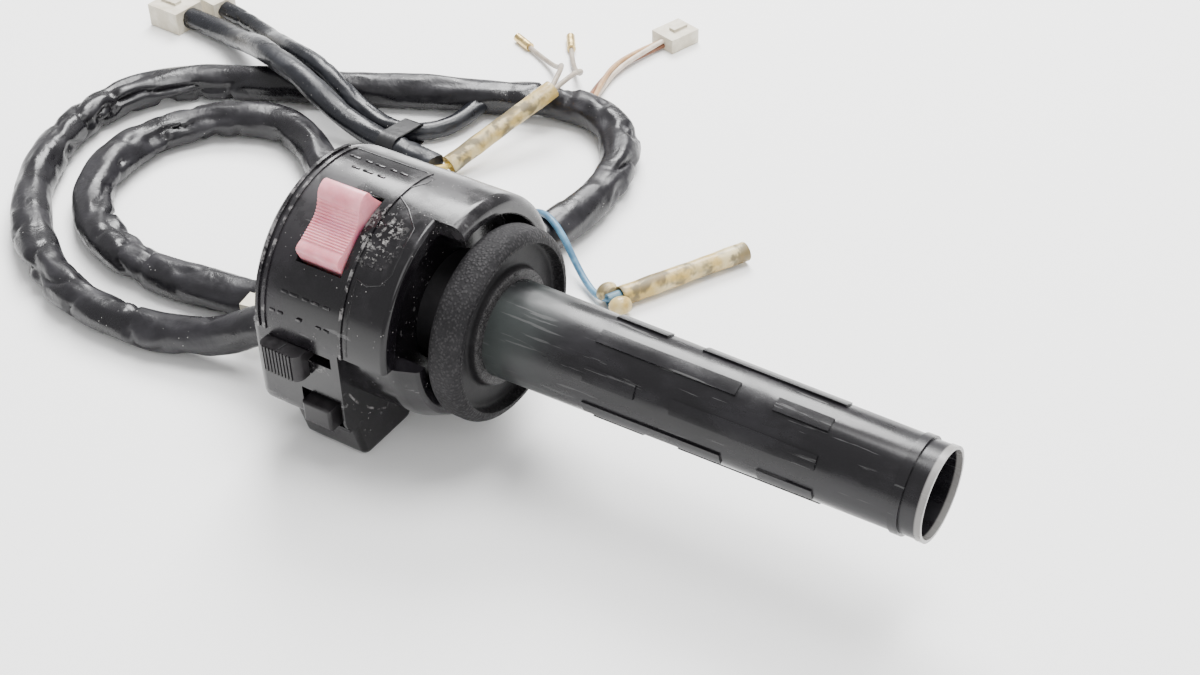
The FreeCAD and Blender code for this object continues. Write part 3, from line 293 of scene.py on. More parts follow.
def casePaint():
    f = Finish("casePaint", Specular_IOR_Level=0.24, Coat_Roughness=0.18)
    radius = f.fromAxis()
    z = f.xyz()[2]
    patches = f.noise(55, 5, 0.62)
    film = f.between(patches, 0.42, 0.68)
    fine = f.noise(1500, 3, 0.6)
    specks = f.between(f.cells(700), 0.15, 0.07) * f.between(f.noise(130, 3), 0.52, 0.6)
    scratches = f.between(f.noise(420, 2, 0.5, f.moved((0.12, 1, 1), turn=(0, 0, 0.5))), 0.67, 0.71)
    scuffed = f.near(onCase(-29.5, 62), 0.003, 0.012, (1.2, 1, 1))
    worn = f.between(f.noise(240, 4, 0.7), 0.56, 0.6)
    chips = f.between(f.noise(560, 4, 0.75), 0.58, 0.61) * scuffed
    dusty = f.between(z, barAxis.z + 0.020, barAxis.z + 0.036) * f.between(patches, 0.40, 0.62)
    edge = f.between(radius, 0.03366, 0.03384) * f.between(radius, 0.0345, 0.0342)
    edge = edge * f.between(f.noise(190, 4, 0.7), 0.50, 0.62)
    base = f.mix(film, (0.0045, 0.004, 0.005), (0.016, 0.0145, 0.017))
    base = f.mix(dusty * 0.5, base, (0.070, 0.068, 0.070))
    base = f.mix(specks * 0.7, base, (0.34, 0.33, 0.32))
    base = f.mix(scratches * 0.3, base, (0.16, 0.16, 0.16))
    base = f.mix(worn * scuffed * 0.5, base, (0.20, 0.195, 0.19))
    base = f.mix(chips * 0.55, base, (0.34, 0.33, 0.32))
    base = f.mix(edge * 0.6, base, (0.24, 0.23, 0.23))
    f.set(Base_Color=base, Roughness=0.17 + film * 0.12 + specks * 0.2 + chips * 0.3 + dusty * 0.12)
    height = fine * 0.12 + f.noise(260, 3, 0.5) * 0.35 - chips * 0.5 - scratches * 0.15
    f.set(Normal=f.bump(height, 0.00006, 0.5), Coat_Weight=0.22 - film * 0.15)
    return f.material


def tubePlastic():
    f = Finish("tubePlastic", Specular_IOR_Level=0.32)
    x = f.xyz()[0]
    along = f.between(x, barAxis.x + 0.026, barAxis.x + 0.001)
    film = f.between(f.noise(90, 5, 0.6, f.moved((0.5, 1, 1))), 0.38, 0.66)
    fine = f.noise(1400, 3, 0.6)
    grain = f.noise(700, 3, 0.6, f.moved((0.06, 1, 1)))
    scratches = f.between(grain, 0.63, 0.67)
    faded = along * f.between(f.noise(60, 3), 0.2, 0.7)
    base = f.mix(film * 0.5, (0.006, 0.0055, 0.0065), (0.018, 0.017, 0.020))
    base = f.mix(faded, base, (0.032, 0.037, 0.036))
    base = f.mix(scratches * 0.3, base, (0.12, 0.12, 0.12))
    rim = f.between(x, barAxis.x + 0.1197, barAxis.x + 0.1203)
    base = f.mix(rim * 0.7, base, (0.30, 0.29, 0.28))
    f.set(Base_Color=base, Roughness=0.2 + film * 0.14 + faded * 0.24 + scratches * 0.1)
    f.set(Normal=f.bump(fine * 0.3 + grain * 0.5, 0.00006, 0.5))
    return f.material


def ringRubber():
    f = Finish("ringRubber", Specular_IOR_Level=0.2)
    x = f.xyz()[0]
    radius = f.fromAxis()
    pebbles = f.cells(1150)
    pebble = 1.0 - f.between(pebbles, 0.15, 0.75)
    fine = f.noise(2600, 2, 0.5)
    outside = f.between(radius, 0.0228, 0.0238)
    patches = f.noise(85, 4, 0.6)
    bright = f.between(fine * 0.6 + pebble * 0.4, 0.45, 0.8)
    base = f.mix(f.between(patches, 0.35, 0.7), (0.009, 0.0085, 0.0095), (0.018, 0.0172, 0.0185))
    base = f.mix(bright * outside * 0.35, base, (0.065, 0.062, 0.064))
    lip = f.between(radius, 0.0166, 0.0160) * f.between(x, barAxis.x - 0.0035, barAxis.x - 0.0012)
    cracks = f.between(f.cells(330, feature="DISTANCE_TO_EDGE"), 0.03, 0.008)
    base = f.mix(lip * f.between(fine, 0.4, 0.6) * 0.35, base, (0.12, 0.115, 0.115))
    base = f.mix(cracks * lip * 0.8, base, (0.004, 0.004, 0.004))
    f.set(Base_Color=base, Roughness=0.62 + outside * 0.14 - patches * 0.1)
    f.set(Normal=f.bump(pebble * outside * 0.8 + fine * 0.25 - cracks * lip, 0.00025, 0.8))
    return f.material


def rockerPlastic():
    f = Finish("rockerPlastic", Subsurface_Scale=0.004, Subsurface_Weight=0.25,
               Specular_IOR_Level=0.45)
    faded = f.between(f.noise(120, 4, 0.6), 0.3, 0.7)
    grime = f.between(f.noise(520, 4, 0.65), 0.56, 0.72)
    # painted shade: the rocker darkens to deep magenta towards its pivot, low down where it sits in
    # the housing's slot
    depth = f.near(rockerPlace(0, 0, 1.5), 0.0035, 0.0075, (0.4, 1, 1))
    base = f.mix(faded, (0.60, 0.20, 0.24), (0.74, 0.32, 0.37))
    base = f.mix(depth, base, (0.26, 0.02, 0.09))
    base = f.mix(grime * 0.18, base, (0.25, 0.12, 0.12))
    f.set(Base_Color=base, Roughness=0.36 + grime * 0.2)
    f.set(Normal=f.bump(f.noise(1800, 2) * 0.3 + grime * 0.2, 0.00006, 0.5))
    return f.material


def moulded(name, dark, light, scale=300, rough=0.45, shine=0.5):
    # moulded plastic or rubber with a fine grain and handled patches
    f = Finish(name, Specular_IOR_Level=shine)
    patches = f.between(f.noise(scale, 4, 0.6), 0.35, 0.7)
    fine = f.noise(scale * 6, 3, 0.6)
    dust = f.between(f.cells(1300), 0.13, 0.04) * f.between(f.noise(scale * 0.7), 0.5, 0.65)
    base = f.mix(patches, dark, light)
    base = f.mix(dust * 0.5, base, tuple(min(1.0, c * 1.6 + 0.16) for c in light))
    f.set(Base_Color=base, Roughness=rough + patches * 0.14 + dust * 0.1)
    f.set(Normal=f.bump(fine * 0.4 + patches * 0.3, 0.00008, 0.6))
    return f.material


def metal(name, dark, light, rough):
    f = Finish(name, Metallic=1.0)
    patches = f.between(f.noise(260, 5, 0.65), 0.35, 0.7)
    brushed = f.noise(1800, 2, 0.5, f.moved((1, 0.15, 1)))
    f.set(Base_Color=f.mix(patches, dark, light), Roughness=rough + patches * 0.2)
    f.set(Normal=f.bump(brushed, 0.00004, 0.5))
    return f.material


def vinyl(name, dark, light, rough=0.32):
    # soft sleeving: satin folds, a film of patches that is partly dust and partly painted sheen, and
    # a few pale specks
    f = Finish(name, Specular_IOR_Level=0.42)
    film = f.between(f.noise(70, 5, 0.6), 0.4, 0.7)
    folds = f.noise(150, 4, 0.55, distortion=0.6)
    fine = f.noise(1100, 3, 0.6)
    specks = f.between(f.cells(520), 0.10, 0.04) * f.between(f.noise(130, 2), 0.5, 0.58)
    # the film's lighter patches are partly dust and partly a painted sheen
    base = f.mix(film, dark, light)
    base = f.mix(specks * 0.8, base, (0.45, 0.44, 0.42))
    f.set(Base_Color=base, Roughness=rough + film * 0.2 + fine * 0.06)
    f.set(Normal=f.bump(folds + fine * 0.12, 0.0006, 0.55))
    return f.material


def clearVinyl(name):
    # yellowed see-through sleeve with dirty bands along it
    f = Finish(name, Transmission_Weight=0.35, IOR=1.42, Specular_IOR_Level=0.5)
    bands = f.noise(120, 3, 0.6, distortion=0.4)
    blotch = f.between(f.noise(210, 5, 0.7), 0.5, 0.68)
    dirty = f.between(bands, 0.48, 0.6)
    base = f.mix(f.between(f.noise(140, 3), 0.35, 0.7), (0.62, 0.44, 0.13), (0.78, 0.66, 0.38))
    base = f.mix(dirty * 0.85, base, (0.12, 0.095, 0.05))
    base = f.mix(blotch * 0.45, base, (0.34, 0.22, 0.06))
    f.set(Base_Color=base, Roughness=0.28 + dirty * 0.2)
    f.set(Normal=f.bump(f.noise(320, 4, 0.6), 0.0004, 0.4))
    return f.material


def floorPaper():
    f = Finish("floorPaper", Roughness=0.9, Specular_IOR_Level=0.1)
    mottle = f.noise(6, 3, 0.5)
    f.set(Base_Color=f.mix(mottle, (0.90, 0.90, 0.895), (0.93, 0.93, 0.925)))
    f.set(Normal=f.bump(f.noise(900, 2), 0.0001, 0.1))
    return f.material


# millimetres and degrees; the pivot is given by its place along the bar, its distance from the
# bar's axis and its angle up from the front
rocker = {
    "along": -41.8, "pivotRadius": 27.5, "angle": 58.5, "width": 13.6,
    "ribs": 14, "ribFrom": -6.9, "ribTo": 4.3, "ribHeight": 0.34, "edge": 0.00008,
}


def rockerPlace(x, y, z):
    # a point given from the rocker's pivot: Y to its raised end, Z out of the housing
    angle = math.radians(rocker["angle"])
    radius = rocker["pivotRadius"]
    turned = Matrix.Rotation(math.pi / 2 - angle, 4, "X") @ Vector((x, y, z))
    pivot = Vector((rocker["along"], -radius * math.cos(angle), radius * math.sin(angle)))
    return fromBar(*(pivot + turned))


finishes = {
    "upper_case": casePaint(), "throttle_tube": tubePlastic(), "flange_ring": ringRubber(),
    "rocker": rockerPlastic(),
    "light_slider": moulded(
        "sliderPlastic", (0.010, 0.009, 0.010), (0.022, 0.020, 0.022), 260, 0.4, 0.3
    ),
    "start_button": moulded(
        "buttonPlastic", (0.008, 0.007, 0.008), (0.018, 0.0165, 0.018), 260, 0.36, 0.3
    ),
    "loom_grommet": moulded(
        "grommetRubber", (0.012, 0.012, 0.013), (0.03, 0.03, 0.032), 300, 0.6, 0.3
    ),
    "board": moulded("boardPlastic", (0.20, 0.11, 0.05), (0.30, 0.18, 0.09), 300, 0.5),
    "brass": metal("brass", (0.55, 0.40, 0.17), (0.80, 0.62, 0.30), 0.28),
    "steel": metal("plainSteel", (0.45, 0.45, 0.46), (0.62, 0.62, 0.62), 0.3),
    "screws": metal("zincSteel", (0.40, 0.40, 0.37), (0.58, 0.57, 0.52), 0.34),
    "nylon": moulded("agedNylon", (0.48, 0.43, 0.33), (0.62, 0.58, 0.48), 200, 0.42),
    "tape": vinyl("harnessTape", (0.006, 0.006, 0.007), (0.016, 0.0155, 0.017), 0.34),
    "loom": vinyl("loomVinyl", (0.0045, 0.004, 0.0055), (0.012, 0.011, 0.014), 0.24),
    "sleeves": vinyl("sleeveVinyl", (0.005, 0.0055, 0.008), (0.012, 0.013, 0.017), 0.24),
    "boot": moulded("bootVinyl", (0.02, 0.07, 0.11), (0.06, 0.15, 0.20), 260, 0.4),
    "blue": moulded("blueInsulation", (0.045, 0.13, 0.22), (0.10, 0.24, 0.36), 220, 0.38),
    "yellow": moulded("yellowInsulation", (0.55, 0.36, 0.05), (0.78, 0.60, 0.16), 220, 0.4),
    "grey": moulded("greyInsulation", (0.22, 0.18, 0.14), (0.36, 0.31, 0.25), 220, 0.42),
    "tan": moulded("tanInsulation", (0.34, 0.19, 0.09), (0.46, 0.29, 0.15), 220, 0.42),
    "brown": moulded("brownInsulation", (0.13, 0.05, 0.025), (0.22, 0.10, 0.05), 220, 0.42),
    "white": moulded("whiteInsulation", (0.46, 0.38, 0.30), (0.60, 0.52, 0.44), 220, 0.42),
}
nodeFinish = {
    "lower_case": "upper_case", "kill_board": "board", "light_board": "board",
    "start_board": "board", "kill_terminals": "brass", "kill_contact": "brass",
    "light_contact": "brass", "light_terminals": "brass", "start_contact": "brass",
    "start_terminals": "brass", "start_spring": "steel", "rocker_pin": "steel",
    "case_screws": "screws", "switch_screws": "screws", "loom_connector": "nylon",
    "side_connector": "nylon", "thin_connector": "nylon", "brown_connector": "nylon",
    "grey_bullets": "brass", "harness_tape": "tape", "yellow_wire": "yellow",
}
for name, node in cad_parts.items():
    finish = finishes.get(name) or finishes.get(nodeFinish.get(name, ""))
    if finish:
        node.data.materials.clear()
        node.data.materials.append(finish)
print("finishes")


# Engine-stop rocker

def makeRocker():
    top = [
        (9.9, 8.0), (9.95, 10.0), (9.75, 10.9), (9.2, 11.5), (8.3, 11.78), (7.2, 11.82),
        (6.1, 11.6), (5.1, 10.95), (4.3, 10.15),
    ]
    start, end, count = rocker["ribTo"], rocker["ribFrom"], rocker["ribs"]
    steps = count * 6
    for i in range(1, steps + 1):
        t = i / steps
        y = start + (end - start) * t
        floor = 7.35 + 2.8 * max(0.0, 1 - t * 1.9) ** 2.2 + 0.25 * max(0.0, t - 0.7)
        wave = 0.5 - 0.5 * math.cos(2 * math.pi * t * count)
        top.append((y, floor + rocker["ribHeight"] * (wave - 0.5)))
    top += [(-7.6, 7.5), (-8.8, 7.6), (-9.6, 7.45), (-10.1, 7.0), (-10.35, 6.2)]
    low = [(-10.6, 4.5), (-11.3, 0.6), (-8.5, -2.3), (8.5, -2.3), (11.3, 0.6), (10.6, 4.5)]
    half = rocker["width"] / 2
    drawnOutline([rockerPlace(-half, y, z) for y, z in top + low])
    pulled((rocker["width"] * 0.001, 0, 0))
    bpy.ops.object.mode_set(mode="OBJECT")
    applied("BEVEL", width=rocker["edge"], segments=2, limit_method="ANGLE",
            angle_limit=math.radians(65))
    return settle("stop_rocker", finishes["rocker"], "stop_rocker", 50,
                  ("kill_rocker",))


makeRocker()
print("rocker")


# Raised lines of the label panel, and plain marks where the switch positions are shown

# a line's corners are (place along the bar in mm, angle up from the front); marks add a width
panel = {
    "lineRadius": 0.00032, "sink": 0.10, "stepAngle": 5,
    "lines": [
        [(-59.2, 100), (-59.2, 106), (-57, 108), (-33.5, 108), (-29.2, 104), (-29.2, 98),
         (-31.6, 90), (-31.6, 84)],
        [(-31.6, 84), (-26.5, 78.5), (-21.2, 70), (-20.6, 58), (-20.6, 47), (-22.6, 41),
         (-26.5, 38.5), (-29.6, 40), (-29.6, 20), (-29.6, 2.5)],
    ],
    "marks": [
        (-53, 99, 3.4), (-48.4, 99, 2.2), (-44.6, 99, 3.0), (-40.2, 99, 2.2), (-36.8, 99, 2.6),
        (-49.4, 91.5, 2.6), (-45.4, 91.5, 3.2), (-41, 91.5, 2.4),
        (-31.2, 67, 2.0), (-28.2, 67, 2.4), (-25.0, 67, 2.0),
        (-31.0, 47.5, 2.6), (-27.4, 47.5, 2.2), (-24.6, 47.5, 2.0),
        (-50.6, 22.5, 2.0), (-47.4, 22.5, 2.8), (-43.6, 22.5, 2.0), (-40.4, 22.5, 2.6),
        (-36.6, 22.5, 2.2), (-54.2, 11.5, 1.7), (-51.6, 11.5, 1.7), (-45.3, 11.5, 1.6),
        (-38.8, 11.5, 1.7), (-36.2, 11.5, 1.7),
    ],
    "markHeight": 0.8, "markRise": 0.24, "markDepth": 0.8, "markEdge": 0.00016,
}


def makePanelLines():
    made = []
    for corners in panel["lines"]:
        startFresh()
        data = bpy.data.curves.new("line", "CURVE")
        data.dimensions = "3D"
        data.bevel_depth = panel["lineRadius"]
        data.bevel_resolution = 2
        data.resolution_u = 6
        data.use_fill_caps = True
        points = []
        for (x0, a0), (x1, a1) in zip(corners, corners[1:]):
            steps = max(1, round(abs(a1 - a0) / panel["stepAngle"]))
            points += [(x0 + (x1 - x0) * i / steps, a0 + (a1 - a0) * i / steps)
                       for i in range(steps)]
        points.append(corners[-1])
        spline = data.splines.new("POLY")
        spline.points.add(len(points) - 1)
        for point, (x, angle) in zip(spline.points, points):
            point.co = (*onCase(x, angle, -panel["sink"]), 1)
        line = bpy.data.objects.new("line", data)
        bpy.context.collection.objects.link(line)
        line.select_set(True)
        bpy.context.view_layer.objects.active = line
        bpy.ops.object.convert(target="MESH")
        made.append(bpy.context.object)
    joinedPieces(made)
    return settle("panel_lines", finishes["upper_case"], "housing", 60)


def makeMarks():
    # each mark is a short raised bar with rounded edges
    bars = []
    for x, angle, width in panel["marks"]:
        startFresh()
        bpy.ops.mesh.primitive_cube_add(size=1)
        bar = bpy.context.object
        bar.scale = Vector((width, panel["markHeight"], panel["markDepth"])) * 0.001
        bpy.ops.object.transform_apply(scale=True)
        applied("BEVEL", width=panel["markEdge"], segments=2, limit_method="ANGLE")
        bar.rotation_euler = (math.radians(90 - angle), 0, 0)
        bar.location = onCase(x, angle, panel["markRise"] - panel["markDepth"] / 2)
        bars.append(bar)
    joinedPieces(bars)
    return settle("panel_marks", finishes["upper_case"], "housing", 40)


makePanelLines()
makeMarks()
print("panel")


# Index line on the slider's top

sliderMark = {
    "size": (0.0005, 0.0030, 0.0003), "edge": 0.00008, "turn": -8, "place": (-49.7, -36.0, -1.78),
}


def makeSliderMark():
    startFresh()
    bpy.ops.mesh.primitive_cube_add(size=1)
    mark = bpy.context.object
    mark.scale = sliderMark["size"]
    bpy.ops.object.transform_apply(scale=True)
    applied("BEVEL", width=sliderMark["edge"], segments=2)
    mark.rotation_euler = (0, 0, math.radians(sliderMark["turn"]))
    mark.location = fromBar(*sliderMark["place"])
    return settle("slider_mark", finishes["loom_grommet"], "light_knob", 40)


makeSliderMark()


# Cords: each route's control points in millimetres, in the part's frame with the table at Z = 0

routes = {
    "main_loom": [
        (-85.7, -5.8, 21.4), (-104.5, -7, 18.5), (-119.5, -12.5, 9), (-138.5, -19, 6),
        (-165.5, -21, 6), (-192.5, -14, 6), (-216.5, 2, 6), (-235.5, 24, 6), (-245.5, 50, 6),
        (-243.5, 76, 6), (-230.5, 95, 6), (-208.5, 105, 6), (-186.5, 114, 6), (-164.5, 126, 6),
        (-144.5, 134, 6), (-125.5, 142.5, 6), (-105.5, 150, 6), (-86.5, 146, 6), (-73.5, 131, 6),
        (-68.5, 110, 6), (-69, 87, 6), (-73.5, 65, 6), (-86.5, 48, 6), (-107.5, 42, 6),
        (-128.5, 50, 6), (-144.5, 66, 6), (-162.5, 81, 6), (-182.5, 90, 6), (-200.5, 83, 6),
        (-215.5, 68, 6), (-219.5, 46, 6), (-211.5, 25, 6), (-194.5, 10, 6), (-171.5, 3, 6),
        (-147.5, 4, 6), (-124.5, 8, 6),
    ],
    "side_sleeve": [
        (-125.5, 96.5, 4.2), (-140.5, 98, 4.7), (-155.5, 99.5, 5), (-169.5, 100, 10),
        (-184.5, 102, 17.2), (-202.5, 107, 18), (-218.5, 116, 13.5), (-233.5, 124, 6.5),
        (-249.5, 129, 4.2), (-265.5, 130, 4.2),
    ],
    "thin_sleeve": [
        (-133.5, 139, 6), (-134.2, 129.5, 4.8), (-135.5, 120.5, 3.8), (-140.5, 112.5, 3.7),
        (-149.5, 108.2, 3.8), (-160.5, 108.2, 5.2), (-173.5, 110.4, 10.5), (-185.5, 113, 16),
        (-200.5, 117, 15.8), (-214.5, 125, 10.5), (-228.5, 134, 4.6), (-244.5, 141, 3.2),
        (-260.5, 144, 3.2),
    ],
    "blue_wire": [
        (-126, 94.6, 3.2), (-118.5, 94.6, 1.4), (-109.5, 97.4, 1.1), (-98.5, 96, 1.1),
        (-87.5, 90.5, 1.1), (-73.5, 82.5, 13.4), (-63.5, 77.5, 13.2), (-53.5, 73, 3.2),
        (-46, 68.2, 1.8), (-41, 65.8, 2.6), (-36.9, 66.4, 3.2),
    ],
    "grey_wire_left": [
        (-108.3, 140.5, 16), (-110.5, 149, 17.2), (-116.5, 160, 13.4), (-124.5, 169, 4.6),
        (-134.5, 176, 1.2), (-145.5, 181, 1.4),
    ],
    "grey_wire_right": [
        (-107.1, 140.8, 16), (-106, 149, 17.4), (-108.5, 160, 13.4), (-115.5, 169, 4.6),
        (-124.5, 178, 1.2), (-131.5, 188, 1.4),
    ],
    "brown_wires": [
        (-101.5, 149, 6), (-103.5, 159, 4.2), (-107.5, 170, 2.2), (-109.5, 182, 2.2),
        (-107.5, 195, 2.2), (-103.5, 208, 2.4),
    ],
}


def routeCurve(name, radius=0.0):
    data = bpy.data.curves.new(name, "CURVE")
    data.dimensions = "3D"
    data.resolution_u = 12
    data.bevel_depth = radius
    data.bevel_resolution = 5
    data.use_fill_caps = True
    spline = data.splines.new("NURBS")
    points = routes[name]
    spline.points.add(len(points) - 1)
    for point, place in zip(spline.points, points):
        point.co = (*(v * 0.001 for v in place), 1)
    spline.order_u = 3
    spline.use_endpoint_u = True
    curve = bpy.data.objects.new(name, data)
    bpy.context.collection.objects.link(curve)
    return curve


def centreLine(name):
    curve = routeCurve(name)
    bpy.context.view_layer.update()
    mesh = bpy.data.meshes.new_from_object(curve)
    places = [v.co.copy() for v in mesh.vertices]
    bpy.data.meshes.remove(mesh)
    bpy.data.objects.remove(curve)
    return places


def evenly(places, step):
    # the same line with its points a given distance apart
    out, need = [places[0]], step
    for before, after in zip(places, places[1:]):
        length = (after - before).length
        while length > 0 and need <= length:
            out.append(before.lerp(after, need / length))
            need += step
        need -= length
    out.append(places[-1])
    return out


def tubeAlong(name, places, around, shape, finish, strands=1, spread=0.0):
    # a mesh tube; shape gives the radius across and up at each place and turn
    vertices, faces = [], []
    for strand in range(strands):
        side = None
        first = len(vertices)
        run = 0.0
        for i, place in enumerate(places):
            before, after = places[max(i - 1, 0)], places[min(i + 1, len(places) - 1)]
            ahead = (after - before).normalized()
            if side is None:
                side = ahead.cross(Vector((0, 0, 1))).normalized()
            side = (side - ahead * side.dot(ahead)).normalized()
            up = side.cross(ahead)
            run += (place - places[max(i - 1, 0)]).length
            centre = place
            if spread:
                a = strand * 2 * math.pi / strands + run * 55
                centre = place + (side * math.cos(a) + up * math.sin(a)) * spread
            for j in range(around):
                a = 2 * math.pi * j / around
                across, high = shape(run, a, strand)
                skin = centre + side * (math.cos(a) * across) + up * (math.sin(a) * high)
                skin.z = max(skin.z, tableGap)
                vertices.append(skin)
        rings = len(places)
        for i in range(rings - 1):
            for j in range(around):
                k = (j + 1) % around
                a, b = first + i * around, first + (i + 1) * around
                faces.append((a + j, a + k, b + k, b + j))
        faces.append(tuple(first + j for j in reversed(range(around))))
        last = first + (rings - 1) * around
        faces.append(tuple(last + j for j in range(around)))
    mesh = bpy.data.meshes.new(name)
    mesh.from_pydata(vertices, [], faces)
    mesh.update()
    piece = bpy.data.objects.new(name, mesh)
    bpy.context.collection.objects.link(piece)
    startFresh()
    piece.select_set(True)
    bpy.context.view_layer.objects.active = piece
    bpy.ops.object.mode_set(mode="EDIT")
    bpy.ops.mesh.select_all(action="SELECT")
    bpy.ops.mesh.normals_make_consistent(inside=False)
    bpy.ops.object.mode_set(mode="OBJECT")
    mesh.materials.append(finish)
    bpy.ops.object.shade_smooth_by_angle(angle=math.radians(60))
    return piece


loom = {
    "length": 0.794, "diameter": 0.012, "step": 0.0014, "around": 44,
    "skin": {"radius": 0.0064, "folds": 0.26, "creases": 0.42, "flat": 0.10, "seed": 2.0},
}
tableGap = 0.00005


def wrinkled(radius, folds, creases, flat, seed):
    # soft folds all over, sharper creases round the sleeve, and a slight flattening
    def shape(run, angle, strand):
        c, s = math.cos(angle), math.sin(angle)
        place = Vector((run * 42 + seed, c * 0.9, s * 0.9))
        soft = noise.noise(place) + 0.5 * noise.noise(place * 2.3)
        sharp = noise.noise(Vector((run * 95 + seed, c * 0.6, s * 0.6)))
        pinch = max(0.0, 0.2 - abs(sharp)) / 0.2 * max(0.0, noise.noise(place * 0.5) + 0.25)
        twist = noise.noise(Vector((run * 14 + seed, 3.1, 7.7)))
        squeeze = flat * (1.2 + 1.5 * twist)
        scale = 1 - folds * (0.25 + 0.6 * soft) - creases * pinch
        scale = min(scale, 1.06)
        return radius * scale * (1 + squeeze * 0.6), radius * scale * (1 - squeeze * 0.5)
    return shape


def makeLoom():
    line = evenly(centreLine("main_loom"), loom["step"])
    shape = wrinkled(**loom["skin"])
    piece = tubeAlong("main_loom_sleeve", line, loom["around"], shape, finishes["loom"])
    hang(piece, "housing", ("main_loom",))


# radius and length in metres
sleeves = {
    "side_sleeve": {"radius": 0.0042, "seed": 11.0, "length": 0.150, "end": "side_connector"},
    "thin_sleeve": {"radius": 0.0032, "seed": 23.0, "length": 0.160, "end": "thin_connector"},
}


def makeSleeves():
    for name, facts in sleeves.items():
        line = evenly(centreLine(name), 0.0012)
        shape = wrinkled(facts["radius"], folds=0.18, creases=0.26, flat=0.10, seed=facts["seed"])
        piece = tubeAlong(name + "_vinyl", line, 32, shape, finishes["sleeves"])
        hang(piece, "housing", (name,))
        others = [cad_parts[facts["end"]]]
        if name == "side_sleeve":
            others += [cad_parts["yellow_wire"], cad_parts["harness_tape"]]


strainRelief = {
    "start": (-89.9, -6.05, 20.85), "end": (-103.0, -6.85, 18.75), "wide": 0.0086, "thin": 0.0068,
    "grooves": 4, "cutsPerGroove": 3, "grooveDepth": 0.0005, "edge": 0.0003,
}
ringReach = 0.002


def makeStrainRelief():
    # a tapered rubber sleeve with shallow grooves where the loom leaves the housing
    start, end = endsOf(strainRelief)
    length = (end - start).length
    startFresh()
    bpy.ops.mesh.primitive_cone_add(vertices=48, radius1=strainRelief["wide"],
                                    radius2=strainRelief["thin"], depth=length)
    piece = bpy.context.object
    bpy.ops.object.mode_set(mode="EDIT")
    perGroove = strainRelief["cutsPerGroove"]
    rings = strainRelief["grooves"] * perGroove
    crossCut(length, rings)
    shrink = 1 - strainRelief["grooveDepth"] / strainRelief["wide"]
    for i in range(perGroove - 1, rings, perGroove):
        pickRing(piece, length * (i / rings - 0.5), length * ringReach)
        bpy.ops.transform.resize(value=(shrink, shrink, 1))
    bpy.ops.object.mode_set(mode="OBJECT")
    applied("BEVEL", width=strainRelief["edge"], segments=2, limit_method="ANGLE",
            angle_limit=math.radians(60))
    turnedAlong(piece, end - start, (start + end) / 2)
    return settle("loom_strain_relief", finishes["loom_grommet"], "housing", 35)


makeStrainRelief()
makeLoom()
makeSleeves()
print("loom and sleeves")


# Return spring behind the start button

spring = {
    "front": -22.3, "back": -15.7, "middle": (-67.6, 18.4), "radius": 2.6, "wire": 0.00035,
    "turns": 6, "stepsPerTurn": 28, "fixed": (-0.0676, -0.01535, 0.0184), "keep": 0.62,
}


def makeSpring():
    steps = spring["turns"] * spring["stepsPerTurn"]
    x, z = spring["middle"]
    line = []
    for i in range(steps + 1):
        turn = 2 * math.pi * spring["turns"] * i / steps
        y = spring["front"] + (spring["back"] - spring["front"]) * i / steps
        line.append(Vector((x + spring["radius"] * math.cos(turn), y,
                            z + spring["radius"] * math.sin(turn))) * 0.001)
    piece = tubeAlong("start_return_spring", line, 10,
                      lambda run, angle, strand: (spring["wire"], spring["wire"]),
                      finishes["steel"])
    hang(piece, "housing", ("start_spring",))
    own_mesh(piece)


makeSpring()


# Clear connector sleeves: a rolled tube of thin vinyl, pinched where it is worn

clearSleeves = {
    "connector_sleeve_a": {
        "start": (-121.7, 99, 4.2), "end": (-107.7, 140.5, 16.2), "radius": 0.0033,
        "flat": 0.9, "mouth": 1.10,
    },
    "connector_sleeve_b": {
        "start": (-36, 68.6, 3.4), "end": (-14.9, 108, 3.4), "radius": 0.0032,
        "flat": 0.92, "mouth": 1.06,
    },
}
# the wall and the lip's rounding are in metres; a ripple is its height as a share of the radius
# and its turns along the sleeve in radians
clearSkin = {
    "wall": 0.00055, "lip": 0.00012, "rings": 26, "mouthShare": 9,
    "slowRipple": (0.030, 9), "fastRipple": (0.018, 31),
}


def makeClearSleeve(name, facts):
    start, end = endsOf(facts)
    length = (end - start).length
    startFresh()
    bpy.ops.mesh.primitive_cylinder_add(
        vertices=40, radius=facts["radius"], depth=length, end_fill_type="NOTHING"
    )
    piece = bpy.context.object
    bpy.ops.object.mode_set(mode="EDIT")
    rings = clearSkin["rings"]
    crossCut(length, rings)
    (slow, slowTurns), (fast, fastTurns) = clearSkin["slowRipple"], clearSkin["fastRipple"]
    for i in range(rings + 1):
        t = i / rings
        pickRing(piece, length * (t - 0.5), length * ringReach)
        ripple = 1 + slow * math.sin(slowTurns * t + len(name)) + fast * math.sin(fastTurns * t)
        flare = 1 + (facts["mouth"] - 1) * max(0.0, 1 - t * clearSkin["mouthShare"])
        wide = ripple * flare
        bpy.ops.transform.resize(value=(wide, wide * facts["flat"], 1))
    bpy.ops.object.mode_set(mode="OBJECT")
    applied("SOLIDIFY", thickness=clearSkin["wall"], offset=-1)
    applied("BEVEL", width=clearSkin["lip"], segments=2, limit_method="ANGLE",
            angle_limit=math.radians(60))
    turnedAlong(piece, end - start, (start + end) / 2)
    finish = clearVinyl(name + "_vinyl")
    return settle(name + "_clear", finish, "housing", 50, (name,))


clearPieces = {name: makeClearSleeve(name, facts) for name, facts in clearSleeves.items()}


# Forked mouth of the lower clear sleeve, with two rounded ends and the blue boot between them

fork = {
    "radius": 0.0030, "shape": (1.0, 1.25, 0.95), "splay": 0.18, "out": 0.0022, "apart": 0.0040,
    "cut": 0.0006, "wall": 0.0005,
}
boot = {
    "radius": 0.0021, "length": 0.0056, "lip": 0.0007, "socket": 0.0012, "edge": 0.0003,
    "out": 0.0018,
}


def lowerSleeveMouth():
    start, end = endsOf(clearSleeves["connector_sleeve_b"])
    return start, (end - start).normalized()


